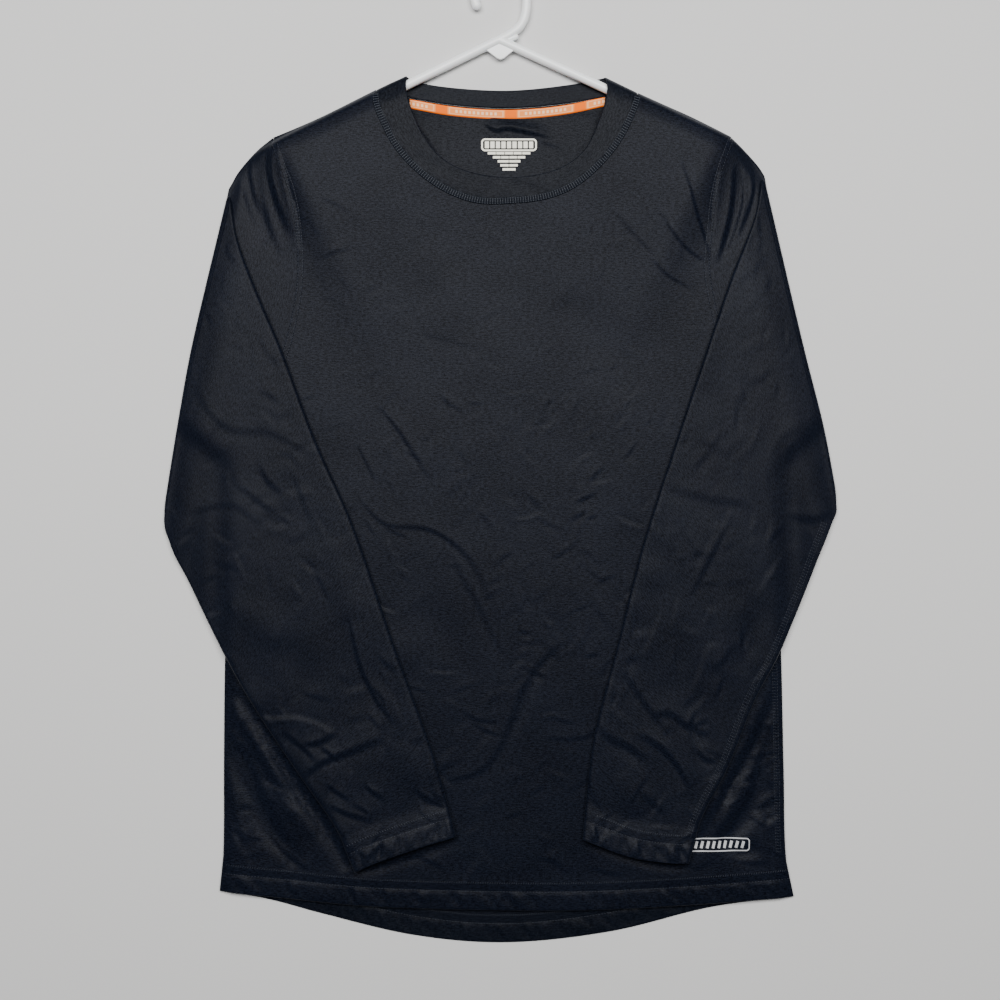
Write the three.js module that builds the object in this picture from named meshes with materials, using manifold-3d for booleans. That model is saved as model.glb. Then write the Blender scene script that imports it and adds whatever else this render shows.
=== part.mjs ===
// A long-sleeved base layer top, laid flat with its sleeves turned over onto the front.
// A plain tubular hanger lies in it and holds the neck and shoulders open.
// Millimetres, +Z up. The floor is z = 0, +Y runs from the hem to the neck,
// and the wearer's right side lies at -X.

import * as THREE from "three";
import Module from "manifold-3d";

// Cloth walls and the gaps between pieces
const WALL = 1.2;
const HEM_WALL = 1.8;
const BAND_WALL = 1.8;
const BACK_BAND_WALL = 1.5;
const TAPE_WALL = 0.8;
const GAP = 0.3;
const SEAM_GAP = 0.6;
const HEM_DEPTH = 26;

// Levels of the stacked layers: back panel, front panel, then the folded sleeve
const FRONT_LEVEL = WALL + GAP;
const FOLD_AXIS = 3.0;

// Middle of the whole part's outline, which becomes its origin
const CENTRE = { x: -4.26, y: 40.56 };

// Hanger: tube radius, height of its axis, apex and arm ends
const TUBE = 4;
const TUBE_Z = 5.8;
const APEX = [-4, 404.5];
const RIGHT_ARM_END = [-190, 313];
const LEFT_ARM_END = [182, 318];
const HOOK = { x: -4.1, y: 444, radius: 23, sweep: 205 };
const STEM = [[-14, 399.6], [-7, 403], [3.9, 408.6], [13.7, 416.7], [18.2, 428.3], [18.9, 444]];
const FORK = [-5, 403.9];
const WEB = { outline: [[-18, 396], [-4, 386.5], [10, 396.5], [-4, 405]], halfThickness: 1.6 };
const SHORT_ROD_THINNER = 0.05;

// Outline tables, columns x and y.
// Each side's shoulder runs from the neck to the sleeve, its armhole from there to the pit.
const RIGHT = {
  sign: -1,
  shoulder: [[-113.5, 360.8], [-127, 354], [-161, 337], [-204, 319]],
  armhole: [[-204, 319], [-194.5, 293], [-185.9, 269], [-180.5, 232], [-180, 194], [-185, 160],
    [-193.6, 128], [-210, 96], [-235.8, 70.4]],
  side: [[-235.8, 70.4], [-243, -40], [-246.5, -141], [-247.4, -230], [-248, -315], [-251, -344]],
  sleeveTop: [[-204, 319], [-218, 308], [-235, 288.5], [-240.4, 279], [-243.6, 272.6], [-244.6, 266.6]],
  foldEdge: [[-244.6, 266.6], [-276.3, 132], [-285.5, 82], [-294, 31], [-302, -28]],
  innerEdge: [[-244.6, 266.6], [-235, 231], [-216, 180], [-196, 133], [-166, 53], [-134, -19],
    [-95, -132], [-62, -224], [-42.7, -293]],
  outerEdge: [[-302, -28], [-279, -70], [-248, -132], [-223, -176], [-178, -244], [-148, -287],
    [-131.6, -325]],
  cuff: [[-42.7, -293], [-79.5, -304.5], [-117, -318], [-131.6, -325]],
};
const LEFT = {
  sign: 1,
  shoulder: [[117, 357.8], [139, 348], [164, 337], [199, 319]],
  armhole: [[199, 319], [189, 293], [183, 269], [179, 232], [177.4, 202], [184.2, 163],
    [194, 128], [209, 96], [233.2, 70.4]],
  side: [[233.2, 70.4], [239, -40], [243, -132], [245.3, -238.5], [247.5, -318], [254, -348.8]],
  sleeveTop: [[199, 319], [214.7, 303.5], [223, 294], [227, 288], [228.6, 284.5], [228.4, 281.6]],
  foldEdge: [[228.4, 281.6], [263.5, 132], [280.4, 64.7], [288.6, 22.5], [293.5, -12.3]],
  innerEdge: [[228.4, 281.6], [219.5, 251], [197.6, 193.6], [180.8, 144.8], [147.3, 44.4],
    [120.4, -39.6], [97, -132], [77.4, -209], [67.6, -296]],
  outerEdge: [[293.5, -12.3], [263.5, -80], [241.6, -132], [218.6, -176], [195.8, -232.6],
    [172.2, -278], [160.4, -316.6]],
  cuff: [[67.6, -296], [109.4, -311], [144, -316], [160.4, -316.6]],
};

// Neck: the seams of the neckband and its free edges, from the wearer's right to left
const FRONT_NECK = [[-113.5, 360.8], [-112, 346], [-106.7, 331.8], [-95, 309.8], [-74.8, 287.8],
  [-49.5, 271], [-24.3, 262.6], [3.9, 262.2], [36.1, 266], [59.6, 275.4], [79.8, 291.3],
  [98.3, 313.3], [111.8, 340], [117, 357.8]];
const BACK_NECK = [[-113.5, 360.8], [-85.9, 354.4], [-45, 347.6], [4.4, 344.9], [50, 348.6],
  [90.6, 355], [117, 357.8]];
const FRONT_FREE = [[-86, 372], [-86.2, 358.2], [-76.6, 329.1], [-61.9, 305.4], [-44.4, 292.2],
  [-22.4, 285.1], [3.5, 282.5], [30.8, 285], [53.7, 293], [69.5, 306.2], [81, 329.1],
  [88.9, 356.4], [88, 372]];
const BACK_FREE = [[-86, 372], [-70.6, 366.8], [0, 360.8], [66.6, 367.5], [88, 372]];
const TAPE = { top: [[-84, 353.6], [-45, 347], [4.4, 344.3], [50, 348], [88, 355.6]], width: 8.8 };

// Hems, from the wearer's right to left
const FRONT_HEM = [[-251, -344], [-196, -349.4], [-124, -356.5], [0, -360.2], [80, -360],
  [172.2, -355], [254, -348.8]];
const BACK_HEM = [[-251, -344], [-207, -352], [-160, -364.6], [-79.5, -383.4], [0, -389.8],
  [93.6, -380], [180, -359], [254, -348.8]];

// How the cloth stands over the hanger's arms: reach of its slope past their ends, above and below them
const TENT = { clearance: 2.5 * GAP, endReach: 8, aboveReach: 6.5, belowReach: 11 };

// The front's hem lies on the back's turned hem
const HEM_LIFT = { height: 2 * GAP, from: -270, over: 40 };

// How the turned sleeve drops beside the body, and how its cuff stands open
const SAG = { from: 36, over: 24 };
const CUFF = { lift: 2.4, liftFrom: 0.8, mouth: 1.2, mouthFrom: 0.85, hemFrom: 0.92 };
const CAP_FADE = { from: 0.1, over: 0.5 };

// Middle of the neck hole, and the x beyond which a point of the back seam is at a shoulder
const NECK_CENTRE_Y = 372;
const SHOULDER_X = 100;
const BAND_END_INSET = 1.1;

// A ridge's height at its ends, as a share of its middle's
const FOLD_ENDS = 0.6;

const CURVE_DIVISIONS = 400;
const MAX_WALL_STRETCH = 2;

// Soft folds, columns x0, y0, x1, y1, half width and height of each ridge
const FRONT_FOLDS = [
  [133, 306, 152, 250, 11, 2.4],
  [152, 288, 172, 236, 12, 2.6],
  [128, 222, 164, 186, 14, 1.8],
  [-140, 290, -150, 215, 16, 1.8],
  [-113, 86, -57, 8, 18, 1.6],
  [-12, -239, 44, -138, 20, 1.6],
  [30, 120, 60, 20, 24, 1.4],
  [-40, 190, 40, 205, 30, 1.2],
  [-225, -262, -176, -300, 11, 2.6],
  [-60, -325, -50, -361, 13, 2.2],
  [20, -330, 24, -361, 12, 1.8],
  [228, -232, 205, -285, 10, 2.4],
];
const RIGHT_SLEEVE_FOLDS = [
  [-219, 65, -172, 44, 13, 3.0],
  [-217, 16, -186, -12, 13, 2.6],
  [-246, -60, -200, -88, 15, 2.2],
  [-199, -202, -150, -222, 12, 3.4],
  [-129, -146, -104, -188, 12, 2.8],
  [-151, -249, -106, -256, 11, 3.0],
  [-262, 150, -232, 140, 16, 2.0],
];
const LEFT_SLEEVE_FOLDS = [
  [252, -15, 286, -10, 12, 3.0],
  [139, 11, 172, 3, 13, 2.6],
  [81, -200, 131, -215, 12, 3.2],
  [131, -215, 160, -247, 11, 3.0],
  [110, -154, 126, -184, 12, 2.6],
  [205, 60, 232, 20, 18, 2.2],
  [225, 170, 214, 120, 14, 2.0],
];

// Rows down the body, as shares of its length from shoulder to hem, closest over the hanger
const BODY_LENGTH = 699;
const PIT = 0.385;
const ARMHOLE_SHARES = [0, 0.05, 0.12, 0.25, 0.4, 0.55, 0.7, 0.85, 1];
const HANGER_DROPS = [2.5, 5, 7.5, 10, 15.5, 18, 22, 26, 45];
const FRONT_SIDE_SHARES = [0.1, 0.2, 0.3, 0.4, 0.5, 0.6, 0.7, 0.78, 0.86];
const BACK_SIDE_SHARES = [0.3, 0.6, 0.85];

function bodyRows(drops, sideShares) {
  return [
    ...drops.map((drop) => drop / BODY_LENGTH),
    ...ARMHOLE_SHARES.map((share) => share * PIT),
    ...sideShares.map((share) => PIT + (1 - PIT) * share),
    1 - (HEM_DEPTH + 2) / BODY_LENGTH,
    1 - HEM_DEPTH / BODY_LENGTH,
    1,
  ].sort((a, b) => a - b);
}

const FRONT_ROWS = bodyRows(HANGER_DROPS, FRONT_SIDE_SHARES);
const BACK_ROWS = bodyRows([], BACK_SIDE_SHARES);

// Columns along a shoulder, as shares from the neck, closest over the hanger's end
const SHOULDER_SHARES = [0.25, 0.5, 0.72, 0.86, 0.93, 1];

// Smooth curve through a table, read by its share of the length
function curve(table) {
  const points = table.map(([x, y]) => new THREE.Vector3(x, y, 0));
  const path = new THREE.CatmullRomCurve3(points, false, "centripetal");
  path.arcLengthDivisions = CURVE_DIVISIONS;
  return {
    length: path.getLength(),
    at(share) {
      const point = path.getPointAt(Math.min(1, Math.max(0, share)));
      return [point.x, point.y];
    },
  };
}

function shifted(table, dx, dy) {
  return table.map(([x, y]) => [x + dx, y + dy]);
}

function mix(a, b, share) {
  return a + (b - a) * share;
}

function smooth(value) {
  const t = Math.min(1, Math.max(0, value));
  return t * t * (3 - 2 * t);
}

function distanceToSegment(x, y, ax, ay, bx, by) {
  const dx = bx - ax;
  const dy = by - ay;
  const along = ((x - ax) * dx + (y - ay) * dy) / (dx * dx + dy * dy);
  const t = Math.min(1, Math.max(0, along));
  return { distance: Math.hypot(x - ax - t * dx, y - ay - t * dy), t };
}

// Height that a table of soft folds adds at a place
function folds(table, x, y) {
  let sum = 0;
  for (const [x0, y0, x1, y1, halfWidth, height] of table) {
    const { distance, t } = distanceToSegment(x, y, x0, y0, x1, y1);
    sum += height * mix(FOLD_ENDS, 1, Math.sin(Math.PI * t)) * Math.exp(-((distance / halfWidth) ** 2));
  }
  return sum;
}

// How far the cloth over the hanger's arms stands up: steep on the shoulder side, soft below
function hangerRise(x, y) {
  const height = TUBE_Z + TUBE + TENT.clearance - FRONT_LEVEL;
  let rise = 0;
  for (const end of [RIGHT_ARM_END, LEFT_ARM_END]) {
    const { distance } = distanceToSegment(x, y, APEX[0], APEX[1], end[0], end[1]);
    const slope = (end[1] - APEX[1]) / (end[0] - APEX[0]);
    const above = y > APEX[1] + slope * (x - APEX[0]);
    const beyondEnd = Math.abs(x - APEX[0]) > Math.abs(end[0] - APEX[0]);
    const steep = above || beyondEnd;
    const reach = beyondEnd ? TENT.endReach : TENT.aboveReach;
    const falloff = steep ? (distance / reach) ** 4 : (distance / TENT.belowReach) ** 2;
    rise = Math.max(rise, height * Math.exp(-falloff));
  }
  return rise;
}

// Underside of the front panel, and of whatever else lies on the back panel
function frontUnder(x, y) {
  const hemLift = HEM_LIFT.height * smooth((HEM_LIFT.from - y) / HEM_LIFT.over);
  return FRONT_LEVEL + hangerRise(x, y) + hemLift + folds(FRONT_FOLDS, x, y);
}

// Vertical thickness that keeps a sloping wall's true thickness
function wallHeight(under, x, y, wall) {
  const step = 0.5;
  const slopeX = (under(x + step, y) - under(x - step, y)) / (2 * step);
  const slopeY = (under(x, y + step) - under(x, y - step)) / (2 * step);
  return wall * Math.min(MAX_WALL_STRETCH, Math.hypot(1, slopeX, slopeY));
}

// Collects a closed mesh from rows of points that share their edges
class Shell {
  constructor() {
    this.positions = [];
    this.triangles = [];
  }

  point([x, y, z]) {
    this.positions.push(x, y, z);
    return this.positions.length / 3 - 1;
  }

  rows(grid) {
    return grid.map((row) => row.map((p) => this.point(p)));
  }

  flatDistance(a, b) {
    const [ax, ay] = this.positions.slice(3 * a, 3 * a + 2);
    const [bx, by] = this.positions.slice(3 * b, 3 * b + 2);
    return Math.hypot(bx - ax, by - ay);
  }

  // Splits along the shorter diagonal, seen from above, so that no skewed quad folds over
  quad(a, b, c, d) {
    const alongFirst = this.flatDistance(a, c) <= this.flatDistance(b, d);
    this.triangles.push(...(alongFirst ? [[a, b, c], [a, c, d]] : [[a, b, d], [b, c, d]]));
  }

  sheet(grid, flip) {
    for (let r = 0; r + 1 < grid.length; r += 1) {
      for (let c = 0; c + 1 < grid[r].length; c += 1) {
        const ring = [grid[r][c], grid[r + 1][c], grid[r + 1][c + 1], grid[r][c + 1]];
        this.quad(...(flip ? ring.reverse() : ring));
      }
    }
  }

  // Turns every face if the closed surface points inwards
  outward() {
    const corner = (i) => new THREE.Vector3().fromArray(this.positions, 3 * i);
    let volume = 0;
    for (const [a, b, c] of this.triangles) volume += corner(a).dot(corner(b).cross(corner(c)));
    if (volume < 0) this.triangles.forEach((triangle) => triangle.reverse());
    return this;
  }

  mesh(name, material) {
    this.outward();
    const geometry = new THREE.BufferGeometry();
    geometry.setAttribute("position", new THREE.Float32BufferAttribute(this.positions, 3));
    geometry.setIndex(this.triangles.flat());
    geometry.computeVertexNormals();
    const mesh = new THREE.Mesh(geometry, material);
    mesh.name = name;
    return mesh;
  }
}

// Places on a panel: a grid that runs between its top edge, sides and hem.
// The sides' curves fade quickly towards the middle, so that no row crosses the neck seam.
const SIDE_PULL = 6;
const EVEN_SHARE = 0.4;

function panelPlaces(topPoints, bottom, rightSide, leftSide, rows) {
  const count = topPoints.length - 1;
  const first = topPoints[0];
  const last = topPoints[count];
  const low = [bottom.at(0), bottom.at(1)];
  const shareOf = (p, c) => mix((p[0] - first[0]) / (last[0] - first[0]), c / count, EVEN_SHARE);
  const across = topPoints.map(shareOf);
  return rows.map((v) => {
    const right = rightSide(v);
    const left = leftSide(v);
    return topPoints.map((top, c) => {
      const u = across[c];
      const hem = bottom.at(u);
      return [0, 1].map((axis) => {
        const straight = mix(top[axis], hem[axis], v);
        const rightPull = right[axis] - mix(first[axis], low[0][axis], v);
        const leftPull = left[axis] - mix(last[axis], low[1][axis], v);
        return straight + (1 - u) ** SIDE_PULL * rightPull + u ** SIDE_PULL * leftPull;
      });
    });
  });
}

// Armhole and side seam as one edge, read by the share of the body's length
function sideEdge(side) {
  const armhole = curve(side.armhole);
  const seam = curve(side.side);
  return (v) => (v < PIT ? armhole.at(v / PIT) : seam.at((v - PIT) / (1 - PIT)));
}

function topEdge(neckTable, shoulderShares, neckDistances) {
  const right = curve(RIGHT.shoulder);
  const neck = curve(neckTable);
  const left = curve(LEFT.shoulder);
  const points = [];
  points.push(...[...shoulderShares].reverse().map((share) => right.at(share)));
  const half = neckDistances.map((d) => d / neck.length);
  const middle = half.filter((share) => share < 0.5);
  points.push(...middle.map((share) => neck.at(share)));
  points.push(neck.at(0.5));
  points.push(...middle.reverse().map((share) => neck.at(1 - share)));
  points.push(...shoulderShares.map((share) => left.at(share)));
  return points;
}

// A panel as a closed slab between its under and upper surfaces
function panel(name, material, places, under, wallAt) {
  const shell = new Shell();
  const lower = places.map((row, r) => row.map(([x, y]) => [x, y, under(x, y, r)]));
  const upper = lower.map((row, r) => row.map(([x, y, z]) => [x, y, z + wallAt(x, y, r)]));
  const low = shell.rows(lower);
  const high = shell.rows(upper);
  shell.sheet(high, false);
  shell.sheet(low, true);
  const last = low.length - 1;
  const end = low[0].length - 1;
  shell.sheet([low[0], high[0]], false);
  shell.sheet([high[last], low[last]], false);
  shell.sheet([high.map((row) => row[0]), low.map((row) => row[0])], false);
  shell.sheet([high.map((row) => row[end]), low.map((row) => row[end])], true);
  return shell.mesh(name, material);
}

// Places along the neck seams, in mm from each shoulder, that the panels and the neckband share
const NECK_STEPS = [2, 4, 6.5, 9.5, 13, 17, 22, 29, 39, 53, 71, 93, 119, 147];
const BACK_NECK_STEPS = [3, 12, 28, 55, 85];

function hemWall(rows) {
  const hemTop = 1 - (HEM_DEPTH + 1) / BODY_LENGTH;
  return (r) => (rows[r] > hemTop ? HEM_WALL : WALL);
}

function frontPanel(material) {
  const top = topEdge(FRONT_NECK, SHOULDER_SHARES, [0, ...NECK_STEPS]);
  const places = panelPlaces(top, curve(FRONT_HEM), sideEdge(RIGHT), sideEdge(LEFT), FRONT_ROWS);
  const wall = hemWall(FRONT_ROWS);
  return panel("front", material, places, frontUnder,
    (x, y, r) => wallHeight(frontUnder, x, y, wall(r)));
}

function backPanel(material) {
  const top = topEdge(BACK_NECK, [0.5, 1], [0, ...BACK_NECK_STEPS]);
  const places = panelPlaces(top, curve(BACK_HEM), sideEdge(RIGHT), sideEdge(LEFT), BACK_ROWS);
  const wall = hemWall(BACK_ROWS);
  return panel("back", material, places, () => 0, (x, y, r) => wall(r));
}

// Between four curves: start and end run from the top side to the under side
function patch(start, end, topSide, underSide) {
  const corner = { a: start.at(0), b: start.at(1), c: end.at(0), d: end.at(1) };
  return (along, across) => [0, 1].map((axis) => {
    const between = mix(start.at(across)[axis], end.at(across)[axis], along);
    const sides = mix(topSide.at(along)[axis], underSide.at(along)[axis], across);
    const flat = mix(
      mix(corner.a[axis], corner.b[axis], across),
      mix(corner.c[axis], corner.d[axis], across),
      along,
    );
    return between + sides - flat;
  });
}

const UPPER_ARM_ROWS = [0, 0.1, 0.3, 0.55, 0.8, 1];
const TURN_ANGLES = [30, 60, 90, 120, 150, 180];
const FOREARM_ROWS = 13;

// Flattened tube section: places across (mm in from the top edge when negative is false) and heights
// before folding. The upper wall comes first, then the under-arm end, the lower wall and the top end.
function sleeveSection(width, extraWall) {
  const inset = { outer: 1.5, inner: 2.1, innerEnd: 1.4 };
  const middle = WALL + GAP / 2;
  const flats = (margin) => ARMHOLE_SHARES.map((share) => mix(margin / width, 1 - margin / width, share));
  const loop = (margin, end, upper, lower) => [
    ...flats(margin).map((s) => [s, upper]),
    [1 - end / width, middle],
    ...flats(margin).reverse().map((s) => [s, lower]),
    [end / width, middle],
  ];
  return {
    outer: loop(inset.outer, 0, FRONT_LEVEL + WALL + extraWall, -extraWall),
    inner: loop(inset.inner, inset.innerEnd, FRONT_LEVEL, WALL),
  };
}

// How far the turned sleeve drops where nothing lies under it
function sag(side, x, y) {
  const pit = side.armhole[side.armhole.length - 1];
  const corner = side.foldEdge[side.foldEdge.length - 1];
  const length = Math.hypot(corner[0] - pit[0], corner[1] - pit[1]);
  const cross = (corner[0] - pit[0]) * (y - pit[1]) - (corner[1] - pit[1]) * (x - pit[0]);
  const aboveUnderarm = side.sign * cross / length;
  const insideBody = side.side[2][0] * side.sign - x * side.sign;
  const cover = Math.max(aboveUnderarm, insideBody);
  return (FOLD_AXIS - GAP) * (1 - smooth((cover + SAG.from) / SAG.over));
}

function sleeve(name, material, side, foldTable) {
  const outward = side.sign;
  const seam = shifted(side.armhole, outward * SEAM_GAP, 0);
  seam[seam.length - 1][1] += SEAM_GAP;
  const armhole = curve(seam);
  const inset = shifted(side.foldEdge, -outward * FOLD_AXIS, 0);
  const fold = curve(inset);
  const pit = armhole.at(1);
  const upperArm = patch(
    armhole,
    fold,
    curve([armhole.at(0), ...side.sleeveTop.slice(1, -1), fold.at(0)]),
    curve([pit, fold.at(1)]),
  );
  const cuff = curve(side.cuff);
  const forearm = patch(
    fold,
    cuff,
    curve([fold.at(0), ...side.innerEdge.slice(1)]),
    curve([fold.at(1), ...side.outerEdge.slice(1)]),
  );
  const foldStart = fold.at(0);
  const foldEnd = fold.at(1);
  const foldLength = Math.hypot(foldEnd[0] - foldStart[0], foldEnd[1] - foldStart[1]);
  const normal = [
    outward * Math.abs(foldEnd[1] - foldStart[1]) / foldLength,
    Math.abs(foldEnd[0] - foldStart[0]) / foldLength,
  ];

  const stations = [
    ...UPPER_ARM_ROWS.map((along) => ({ kind: "upper", along })),
    ...TURN_ANGLES.map((angle) => ({ kind: "turn", angle: THREE.MathUtils.degToRad(angle) })),
  ];
  for (let r = 1; r <= FOREARM_ROWS; r += 1) stations.push({ kind: "forearm", along: r / FOREARM_ROWS });

  const place = (station, [across, height]) => {
    if (station.kind === "upper") {
      const [x, y] = upperArm(station.along, across);
      const isUpper = height > FOLD_AXIS / 2;
      const fade = 1 - smooth((station.along - CAP_FADE.from) / CAP_FADE.over);
      return [x, y, height + (isUpper ? hangerRise(x, y) * fade : 0)];
    }
    if (station.kind === "turn") {
      const [x, y] = fold.at(across);
      const radius = FOLD_AXIS - height;
      const out = radius * Math.sin(station.angle);
      return [x + normal[0] * out, y + normal[1] * out, FOLD_AXIS - radius * Math.cos(station.angle)];
    }
    const [x, y] = forearm(station.along, across);
    const isTop = height < FOLD_AXIS / 2;
    const cuffLift = CUFF.lift * smooth((station.along - CUFF.liftFrom) / (1 - CUFF.liftFrom));
    const mouth = CUFF.mouth * smooth((station.along - CUFF.mouthFrom) / (1 - CUFF.mouthFrom));
    const own = folds(foldTable, x, y);
    const z = 2 * FOLD_AXIS - height + cuffLift - sag(side, x, y) + (isTop ? own + mouth : 0);
    return [x, y, z];
  };

  const widthOf = (station) => {
    const ends = [0, 1].map((across) => {
      if (station.kind === "upper") return upperArm(station.along, across);
      if (station.kind === "turn") return fold.at(across);
      return forearm(station.along, across);
    });
    return Math.hypot(ends[1][0] - ends[0][0], ends[1][1] - ends[0][1]);
  };

  const shell = new Shell();
  const loops = { outer: [], inner: [] };
  for (const station of stations) {
    const extra = station.kind === "forearm" && station.along > CUFF.hemFrom ? HEM_WALL - WALL : 0;
    const section = sleeveSection(widthOf(station), extra);
    for (const which of ["outer", "inner"]) {
      const ring = section[which].map((sample) => place(station, sample));
      ring.push(ring[0]);
      const marks = ring.slice(0, -1).map((p) => shell.point(p));
      marks.push(marks[0]);
      loops[which].push(marks);
    }
  }
  const facing = outward > 0;
  const last = stations.length - 1;
  shell.sheet(loops.outer, facing);
  shell.sheet(loops.inner, !facing);
  shell.sheet([loops.outer[0], loops.inner[0]], !facing);
  shell.sheet([loops.outer[last], loops.inner[last]], facing);
  return shell.mesh(name, material);
}

// Neckband: a ring whose front half rides over the hanger and whose back half lies flat
function shares(steps, length) {
  const half = steps.map((d) => d / length).filter((share) => share < 0.48);
  return [...half, 0.5, ...[...half].reverse().map((share) => 1 - share)];
}

function neckband(material) {
  const inward = SEAM_GAP;
  const seamFront = curve(FRONT_NECK.map(([x, y], i) => {
    const last = i === 0 || i === FRONT_NECK.length - 1;
    const pull = last ? 0 : inward / Math.hypot(x, y - NECK_CENTRE_Y);
    return [x - x * pull - (last ? Math.sign(x) * inward : 0), y + (NECK_CENTRE_Y - y) * pull];
  }));
  const seamBack = curve(BACK_NECK.map(([x, y]) => {
    const isEnd = Math.abs(x) > SHOULDER_X;
    return [isEnd ? x - Math.sign(x) * inward : x, y + (isEnd ? 2 : 1) * inward];
  }));
  const freeFront = curve(FRONT_FREE);
  const freeBack = curve(BACK_FREE);
  const lanes = [0, 0.5, 1];
  const between = (a, b, share, lane) => [0, 1].map(
    (axis) => mix(a.at(share)[axis], b.at(share)[axis], lane),
  );
  const frontShares = shares(NECK_STEPS, seamFront.length);
  const backShares = shares(BACK_NECK_STEPS, seamBack.length);
  const topEnd = (share, lane, inset) => {
    const [x, y] = between(seamFront, freeFront, share, lane);
    return [x - Math.sign(x) * inset, y - inset / 2, FRONT_LEVEL + 2 * GAP];
  };

  const ringOf = (lane, inner) => {
    const front = frontShares.map((share) => {
      const [x, y] = between(seamFront, freeFront, share, lane);
      const under = frontUnder(x, y) + GAP;
      return [x, y, inner ? under : under + wallHeight(frontUnder, x, y, BAND_WALL)];
    });
    const back = [...backShares].reverse().map((share) => {
      const [x, y] = between(seamBack, freeBack, share, lane);
      return [x, y, inner ? BACK_BAND_WALL : 0];
    });
    const inset = inner ? BAND_END_INSET : 0;
    return [topEnd(0, lane, inset), ...front, topEnd(1, lane, inset), ...back];
  };

  const shell = new Shell();
  const close = (marks) => [...marks, marks[0]];
  const outer = lanes.map((lane) => close(shell.rows([ringOf(lane, false)])[0]));
  const inner = lanes.map((lane) => close(shell.rows([ringOf(lane, true)])[0]));
  shell.sheet(outer, true);
  shell.sheet(inner, false);
  shell.sheet([outer[0], inner[0]], false);
  shell.sheet([outer[2], inner[2]], true);
  return shell.mesh("neckband", material);
}

// The tape lies on the back panel, just below the back neck seam
function neckTape(material) {
  const top = curve(TAPE.top);
  const columns = 12;
  const rows = [2 * GAP, TAPE.width].map((drop) => {
    const row = [];
    for (let c = 0; c <= columns; c += 1) {
      const [x, y] = top.at(c / columns);
      row.push([x, y - drop]);
    }
    return row;
  });
  return panel("neck_tape", material, rows, () => FRONT_LEVEL, () => TAPE_WALL);
}

// A round rod along points, with domed ends
function rod(points, radius, sides) {
  const shell = new Shell();
  const dome = [0.25, 0.6, 0.85];
  const tangents = points.map((p, i) => {
    const before = points[Math.max(0, i - 1)];
    const after = points[Math.min(points.length - 1, i + 1)];
    return new THREE.Vector3(after[0] - before[0], after[1] - before[1], 0).normalize();
  });
  const ring = (p, tangent, ringRadius) => {
    const sideways = new THREE.Vector3(-tangent.y, tangent.x, 0);
    const marks = [];
    for (let s = 0; s < sides; s += 1) {
      const angle = ((s + 0.5) / sides) * 2 * Math.PI;
      const out = ringRadius * Math.cos(angle);
      marks.push([p[0] + sideways.x * out, p[1] + sideways.y * out, TUBE_Z + ringRadius * Math.sin(angle)]);
    }
    return marks;
  };
  const domeRing = (p, tangent, share, direction) => {
    const reach = radius * Math.sqrt(1 - share * share) * direction;
    return ring([p[0] + tangent.x * reach, p[1] + tangent.y * reach], tangent, radius * share);
  };
  const first = tangents[0];
  const last = tangents[tangents.length - 1];
  const rings = [
    ...dome.map((share) => domeRing(points[0], first, share, -1)),
    ...points.map((p, i) => ring(p, tangents[i], radius)),
    ...[...dome].reverse().map((share) => domeRing(points[points.length - 1], last, share, 1)),
  ];
  const marks = rings.map((row) => {
    const made = row.map((p) => shell.point(p));
    return [...made, made[0]];
  });
  shell.sheet(marks, true);
  const cap = (row, p, tangent, direction, flip) => {
    const reach = radius * direction;
    const tip = shell.point([p[0] + tangent.x * reach, p[1] + tangent.y * reach, TUBE_Z]);
    for (let s = 0; s < sides; s += 1) {
      shell.triangles.push(flip ? [tip, row[s], row[s + 1]] : [tip, row[s + 1], row[s]]);
    }
  };
  cap(marks[0], points[0], first, -1, false);
  cap(marks[marks.length - 1], points[points.length - 1], last, 1, true);
  return shell;
}

// The small web in the fork of the hanger's arms
function webPlate() {
  const shell = new Shell();
  const low = WEB.outline.map(([x, y]) => shell.point([x, y, TUBE_Z - WEB.halfThickness]));
  const high = WEB.outline.map(([x, y]) => shell.point([x, y, TUBE_Z + WEB.halfThickness]));
  shell.quad(high[0], high[1], high[2], high[3]);
  shell.quad(low[3], low[2], low[1], low[0]);
  for (let i = 0; i < 4; i += 1) {
    const next = (i + 1) % 4;
    shell.quad(low[i], low[next], high[next], high[i]);
  }
  return shell;
}

// The point of a hanger's arm at an x
function armPoint(end, x) {
  return [x, mix(APEX[1], end[1], (x - APEX[0]) / (end[0] - APEX[0]))];
}

async function hanger(material) {
  const wasm = await Module();
  wasm.setup();
  const solid = (shell) => new wasm.Manifold(new wasm.Mesh({
    numProp: 3,
    vertProperties: new Float32Array(shell.outward().positions),
    triVerts: new Uint32Array(shell.triangles.flat()),
  }));
  const sides = 12;
  const stem = curve(STEM);
  const stemSteps = 8;
  const hookSteps = 16;
  const long = [RIGHT_ARM_END, armPoint(RIGHT_ARM_END, -110), armPoint(RIGHT_ARM_END, -40)];
  for (let i = 0; i < stemSteps; i += 1) long.push(stem.at(i / stemSteps));
  for (let i = 0; i <= hookSteps; i += 1) {
    const angle = THREE.MathUtils.degToRad((HOOK.sweep * i) / hookSteps);
    long.push([HOOK.x + HOOK.radius * Math.cos(angle), HOOK.y + HOOK.radius * Math.sin(angle)]);
  }
  const short = [FORK, armPoint(LEFT_ARM_END, 60), LEFT_ARM_END];
  const shortRod = solid(rod(short, TUBE - SHORT_ROD_THINNER, sides));
  const whole = solid(rod(long, TUBE, sides)).add(shortRod).add(solid(webPlate()));
  const { vertProperties, triVerts } = whole.getMesh();
  const geometry = new THREE.BufferGeometry();
  geometry.setAttribute("position", new THREE.Float32BufferAttribute(vertProperties, 3));
  geometry.setIndex(Array.from(triVerts));
  geometry.computeVertexNormals();
  const mesh = new THREE.Mesh(geometry, material);
  mesh.name = "hanger";
  return mesh;
}

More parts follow.
